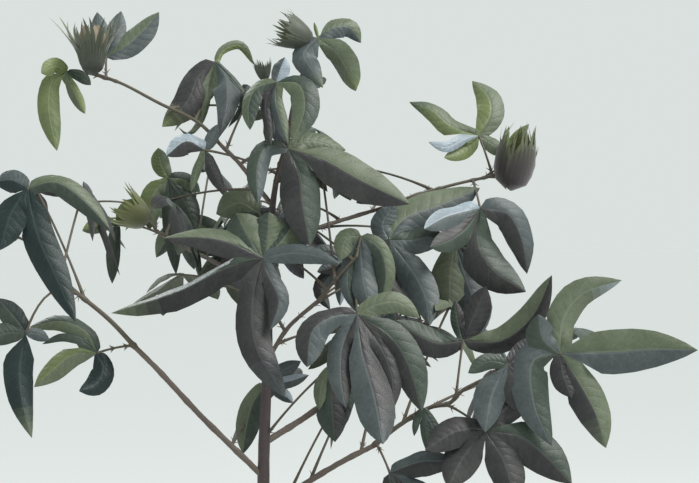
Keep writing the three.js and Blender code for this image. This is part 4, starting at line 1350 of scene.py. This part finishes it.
def grownMass(spec, tip, heading):  # a zigzag shoot with side twigs, their leaves and a bud at its end
    random = seeded(spec["seed"])
    pick = picker(random)
    space, leafSize, windows = spec["space"], spec["leafSize"], spec.get("sky", [])
    centre = tip + heading * space
    step = 2 * space * growth["run"] / growth["internodes"]
    knots = [tip]
    for i in range(growth["internodes"]):
        way = spun(heading, growth["zigzag"] if i % 2 else -growth["zigzag"])
        knots.append(knots[-1] + unit(way + up * growth["lift"] * (i - 1)) * step)
    headingTurn = math.degrees(math.atan2(heading[1], heading[0]))
    joints = [at for carrier, at in growth["leafPlaces"] + finer["places"] if not carrier]
    limbs = [(smoothCourse(knots), [spec["radii"][1], growth["shootTip"]], joints)]
    for i, at in enumerate(growth["twigFrom"]):
        start = limbs[0][0](at)
        turn = headingTurn + pick(growth["twigSwing"]) * (1 if i % 2 else -1)
        way = outward(turn, pick(growth["twigRise"]))
        end = start + way * space * growth["twigReach"]
        middle = (start + end) / 2 - up * space * growth["twigSag"]
        limbs.append((bowedCourse(start, middle, end), growth["twigRadii"], [0.5]))
    leaves, taken = [], []

    def tryLeaf(start, size, side, apart, tries):
        for _ in range(tries):
            turn = headingTurn + pick(growth["swing"]) * side
            rise = pick(growth["rise"])
            reach = size * pick(growth["stalk"])
            turnOff = pick([-growth["turnOff"], growth["turnOff"]])
            dip = pick(growth["dip"])
            hub = start + outward(turn, rise) * reach
            lobes = palmate(outward(turn + turnOff, -dip), up, size, growth["sag"])
            marks = marksOf(hub, lobes, growth["tested"])
            inside = all(np.linalg.norm(mark - centre) < space for mark in marks)
            if inside and not inSky(windows, hub, lobes) and farFrom(taken, marks, apart):
                taken.extend(marks)
                return hub, lobes
        return None

    for k, (carrier, at) in enumerate(growth["leafPlaces"]):
        start = limbs[carrier][0](at)
        found = tryLeaf(start, leafSize * mixed(1, growth["smallest"], at), 1 if k % 2 else -1,
                        growth["apart"] * leafSize, growth["tries"])
        if found:
            leaves.append((start, *found))
    lastWay = unit(knots[-1] - knots[-2])
    budWay = unit(lastWay + up * growth["budLift"])
    buds = [
        {"start": knots[-2], "base": knots[-1], "way": budWay, "size": growth["budSize"], "kind": "closed"},
    ]
    for k, (carrier, at) in enumerate(finer["places"]):  # from here on the rule goes finer than the solids
        start = limbs[carrier][0](at)
        turn = headingTurn + pick(finer["turn"]) * (1 if k % 2 else -1)
        way = outward(turn, pick(finer["rise"]))
        end = start + way * space * pick(finer["reach"])
        if np.linalg.norm(end - centre) > space * finer["within"]:
            continue
        twig = bowedCourse(start, (start + end) / 2 - up * space * finer["sag"], end)
        grown = []
        for part in np.linspace(finer["leavesFrom"], 1, finer["leaves"]):
            at = twig(part)
            found = tryLeaf(at, leafSize * pick(finer["size"]), 1 if next(random) > 0.5 else -1,
                            finer["apart"] * leafSize, finer["tries"])
            if found:
                grown.append((at, *found))
        if grown:
            limbs.append((twig, finer["radii"], []))
            leaves += grown
    dealt = []
    for start, hub, lobes in leaves:
        lot = next(random)
        tones = next(tones for end, tones in dealing["tones"] if lot < end)
        if np.linalg.norm(hub - tip) > dealing["youngPast"] * space and lot > dealing["youngFrom"]:
            tones = dealing["young"]
        dealt.append(leafOf(start, hub, grownLobes(hub, lobes, tones, random)))
    return limbs, dealt, buds


def coverOf(rows):  # what the leaves hide in the front view, as discs, and their marks
    discs, marks = [], []
    for row in rows:
        for lobe in row["lobes"]:
            for at in np.linspace(*backing["hidden"]):
                place = lobe["course"](at)
                width = np.interp(at ** lobe["early"], leaf["widthAt"], leaf["widths"])
                discs.append([*inView(place), lobe["half"] * width / view["scale"] / widening(place[1])])
                marks.append(place)
    return np.array(discs), marks


def growBacking(carriers, rows):  # a leaf for each carrier, where the rows' leaves hide it from the front
    random = seeded(backing["seed"])
    pick = picker(random)
    discs, taken = coverOf(rows)

    def covered(place):
        x, y = inView(place)
        return bool((np.hypot(discs[:, 0] - x, discs[:, 1] - y) < discs[:, 2]).any())

    leaves = []
    for start, clear in carriers:
        for _ in range(backing["tries"]):
            hub = start + outward(pick(backing["turn"]), pick(backing["rise"])) * pick(backing["reach"])
            aim = outward(pick(backing["aim"]), -pick(backing["dip"]))
            lobes = palmate(aim, up, pick(backing["size"]), growth["sag"])
            marks = marksOf(hub, lobes, backing["tested"])
            if all(covered(mark) for mark in marks) and farFrom(taken, marks, backing["apart"]):
                taken.extend(marks)
                tones = backing["tones"][int(next(random) * len(backing["tones"]))]
                leaves.append(leafOf(start, hub, grownLobes(hub, lobes, tones, random), clear))
                break
    return leaves


# Building
counts = {"leaves": 0, "buds": 0}
twigCut = {"sides": 9, "steps": 48}
seeds = {"crown": 100, "tip": 120, "stem": 130, "back": 131, "masses": 200}


def dress(name, nodeName, mass, cut, seed):  # a mass as three pieces: its twigs, its leaves and its buds
    limbs, leaves, buds = mass
    random = seeded(seed)
    twigs, blades, heads = Pile(), Pile(), Pile()
    for course, radii, joints in limbs:
        tube(twigs, course, radii, twigCut["sides"], twigCut["steps"], joints)
    for row in leaves:
        stalk(twigs, row["start"], row["hub"], row["clear"], row["aside"], row["whorl"])
        blade(blades, row["hub"], row["lobes"], cut, random)
    for row in buds:
        if np.linalg.norm(row["base"] - row["start"]) > stalks["shortest"]:
            stalk(twigs, row["start"], row["base"] + row["way"] * stalks["sink"])
        budOf(heads, row["base"], row["way"], row["size"], budKinds[row["kind"]], random)
    counts["leaves"] += len(leaves)
    counts["buds"] += len(buds)
    if limbs or leaves:
        twigPiece = pieceOf(twigs, f"twigs_{name}", [twigBark])
    if leaves:
        piece = pieceOf(blades, f"leaves_{name}", leafMaterials)
        if nodeName:
            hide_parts(*nodeName)
    if buds:
        piece = pieceOf(heads, f"buds_{name}", budMaterials)


boughCut = {"sides": 16, "rings": 90}
boughRelief = {"round": 1.6, "along": 0.16, "depth": [0.28, 0.16]}
boughJoints = {"apart": 24, "size": 0.14}


def boughPiece(name, course, radii):
    length = np.linalg.norm(course(1.0) - course(0.0))
    apart, size = boughJoints["apart"], boughJoints["size"]
    joints = [(at, size) for at in np.arange(apart, length, apart)]
    piece = limbPiece(
        f"bark_{name}", course, lambda shares, places: mixed(radii[0], radii[1], shares), boughCut,
        boughRelief, joints, boughBark,
    )
    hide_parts(f"bough_{name}")


frontLeaves, carriers = [], []
for k, spec in enumerate(viewBoughs):
    course = smoothCourse([stemAxis(viewFoot + spec["height"])] + [seen(place) for place in spec["course"]])
    boughPiece(spec["name"], course, spec["radii"])
    shoot = smoothCourse([course(1.0)] + [seen(place) for place in spec["shoot"]])
    mass = viewMass(spec, shoot)
    dress(spec["name"], [f"foliage_{spec['name']}"], mass, fineCut, seeds["crown"] + k)
    frontLeaves += mass[1]
    carriers += [(limb(share), backing["clear"]) for limb in (course, shoot) for share in backing["shares"]]

crownShoot = smoothCourse([stemKnots[-1]] + [seen(place) for place in crownTip["shoot"]])
mass = viewMass(crownTip, crownShoot)
dress("tip", ["foliage_tip"], mass, fineCut, seeds["tip"])
frontLeaves += mass[1]
print("upper crown:", counts)


def growBough(spec):
    heading = outward(spec["turn"], spec["rise"])
    foot = stemAxis(spec["height"])
    tip = foot + heading * spec["bare"]
    middle = (foot + tip) / 2 - up * spec["bare"] * boughSag
    boughPiece(spec["name"], smoothCourse([foot, middle, tip]), spec["radii"])
    grown = grownMass(spec, tip, heading)
    dress(spec["name"], [f"foliage_{spec['name']}"], grown, coarseCut, spec["seed"] + seeds["masses"])


growBough(behind)
for i in range(lower["count"]):
    down = i / (lower["count"] - 1)
    growBough({
        "name": f"lower_{i + 1}",
        "height": lower["topHeight"] - lower["spacing"] * i,
        "turn": lower["firstTurn"] + goldenAngle * i,
        "rise": lower["rise"],
        "bare": mixed(*lower["bare"], down),
        "radii": [mixed(lower["radii"][0][end], lower["radii"][1][end], down) for end in (0, 1)],
        "space": mixed(*lower["space"], down),
        "leafSize": mixed(*lower["leafSize"], down),
        "seed": lower["firstSeed"] + i,
    })
print("grown masses:", counts)

def onStem(height):  # a leaf's start in the middle of the stem, and how far from there the bark ends
    start = stemAxis(height)
    return start, stemRadius(start[2]) + stalks["past"]


singles, singleNodes = [], []
for row in viewStemLeaves:
    start, clear = onStem(viewFoot + row["height"])
    singles.append(leafOf(start, fromView(*row["hub"]), viewLobes(row["hub"], row["lobes"]), clear))
    singleNodes.append(f"leaf_{row['name']}")
frontLeaves += singles
lowest, highest, apart = backing["stem"]
carriers += [onStem(height) for height in np.arange(viewFoot + lowest, viewFoot + highest, apart)]
dress("back", [], ([], growBacking(carriers, frontLeaves), []), coarseCut, seeds["back"])
print("with the back of the crown:", counts)

hangs = seeded(lowerStemLeaves["seed"])
for i in range(lowerStemLeaves["count"]):
    turn = lower["firstTurn"] + goldenAngle * (i - lowerStemLeaves["lag"]) + lowerStemLeaves["turn"]
    start, clear = onStem(lower["topHeight"] + lowerStemLeaves["above"] - lower["spacing"] * i)
    hub = start + outward(turn, lowerStemLeaves["rise"]) * lowerStemLeaves["stalk"]
    lobes = palmate(outward(turn, -lowerStemLeaves["dip"]), up, lowerStemLeaves["size"], growth["sag"])
    lobes = grownLobes(hub, lobes, lowerStemLeaves["tones"][i % 2], hangs)
    singles.append(leafOf(start, hub, lobes, clear))
    singleNodes.append(f"leaf_stem_{i + 1}")
dress("stem", singleNodes, ([], singles, []), fineCut, seeds["stem"])

stemRelief = {"round": 2.4, "along": 0.045, "depth": [1.0, 0.12]}
jointHeights = [viewFoot + row["height"] for row in viewBoughs + viewStemLeaves]
jointHeights += [lower["topHeight"] - lower["spacing"] * i for i in range(lower["count"])]
stemPiece = limbPiece(
    "bark_stem", stemCourse, lambda shares, places: stemRadius(places[:, 2]), stem, stemRelief,
    [(height, stem["jointSize"]) for height in jointHeights], stemBark,
)
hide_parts("stem")
print("stem done")

# Floor and light, in metres
stage = {
    "floor": 400, "height": -0.0005, "near": (0.72, 0.72, 0.72), "far": (0.998, 0.998, 0.998),
    "fade": (0.6, 5.5), "rough": 0.9, "specular": 0.1, "sky": (0.70, 0.75, 0.73), "skyStrength": 1.0,
}


def makeStage():
    bpy.ops.mesh.primitive_plane_add(size=stage["floor"], location=(0, 0, stage["height"]))
    floor = bpy.context.object
    floor.name = "floor"
    material, tree, shader = newMaterial("floor")
    place = node(tree, "TexCoord").outputs["Object"]
    away = node(tree, "VectorMath", {0: place}, operation="LENGTH")
    fade = ranged(tree, away.outputs["Value"], stage["fade"], (0.0, 1.0))
    tree.links.new(blended(tree, fade, stage["near"], stage["far"]), shader.inputs["Base Color"])
    shader.inputs["Roughness"].default_value = stage["rough"]
    shader.inputs["Specular IOR Level"].default_value = stage["specular"]
    floor.data.materials.append(material)
    floor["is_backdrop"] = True
    world = bpy.data.worlds.new("studio")
    world.use_nodes = True
    world.node_tree.nodes["Background"].inputs[0].default_value = (*stage["sky"], 1)
    world.node_tree.nodes["Background"].inputs[1].default_value = stage["skyStrength"]
    bpy.context.scene.world = world


lamps = [
    {"name": "key", "place": (1.9, -0.7, 3.3), "size": 1.6, "power": 120, "colour": (1.0, 0.99, 0.97)},
    {"name": "back", "place": (-1.2, 2.2, 2.9), "size": 1.6, "power": 60, "colour": (0.95, 0.98, 1.0)},
]
lampsAim = Vector((0.0, 0.0, 0.75))


def makeLamps():
    for lamp in lamps:
        bpy.ops.object.light_add(type="AREA", location=lamp["place"])
        light = bpy.context.object
        light.name = lamp["name"]
        light.data.size = lamp["size"]
        light.data.energy = lamp["power"]
        light.data.color = lamp["colour"]
        aim = lampsAim - Vector(lamp["place"])
        light.rotation_mode = "QUATERNION"
        light.rotation_quaternion = aim.to_track_quat("-Z", "Y")


makeStage()
makeLamps()
bpy.context.scene.view_settings.view_transform = "Standard"

low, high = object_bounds()
over = [round((cadLow[i] - low[i]) * 1000, 1) for i in range(3)]
over += [round((high[i] - cadHigh[i]) * 1000, 1) for i in range(3)]
print("stands proud of the solids by, mm:", over)
shown = [thing for thing in bpy.data.objects if thing.type == "MESH" and not thing.hide_render]
triangles = sum(len(polygon.vertices) - 2 for thing in shown for polygon in thing.data.polygons)
print("triangles:", triangles, counts)
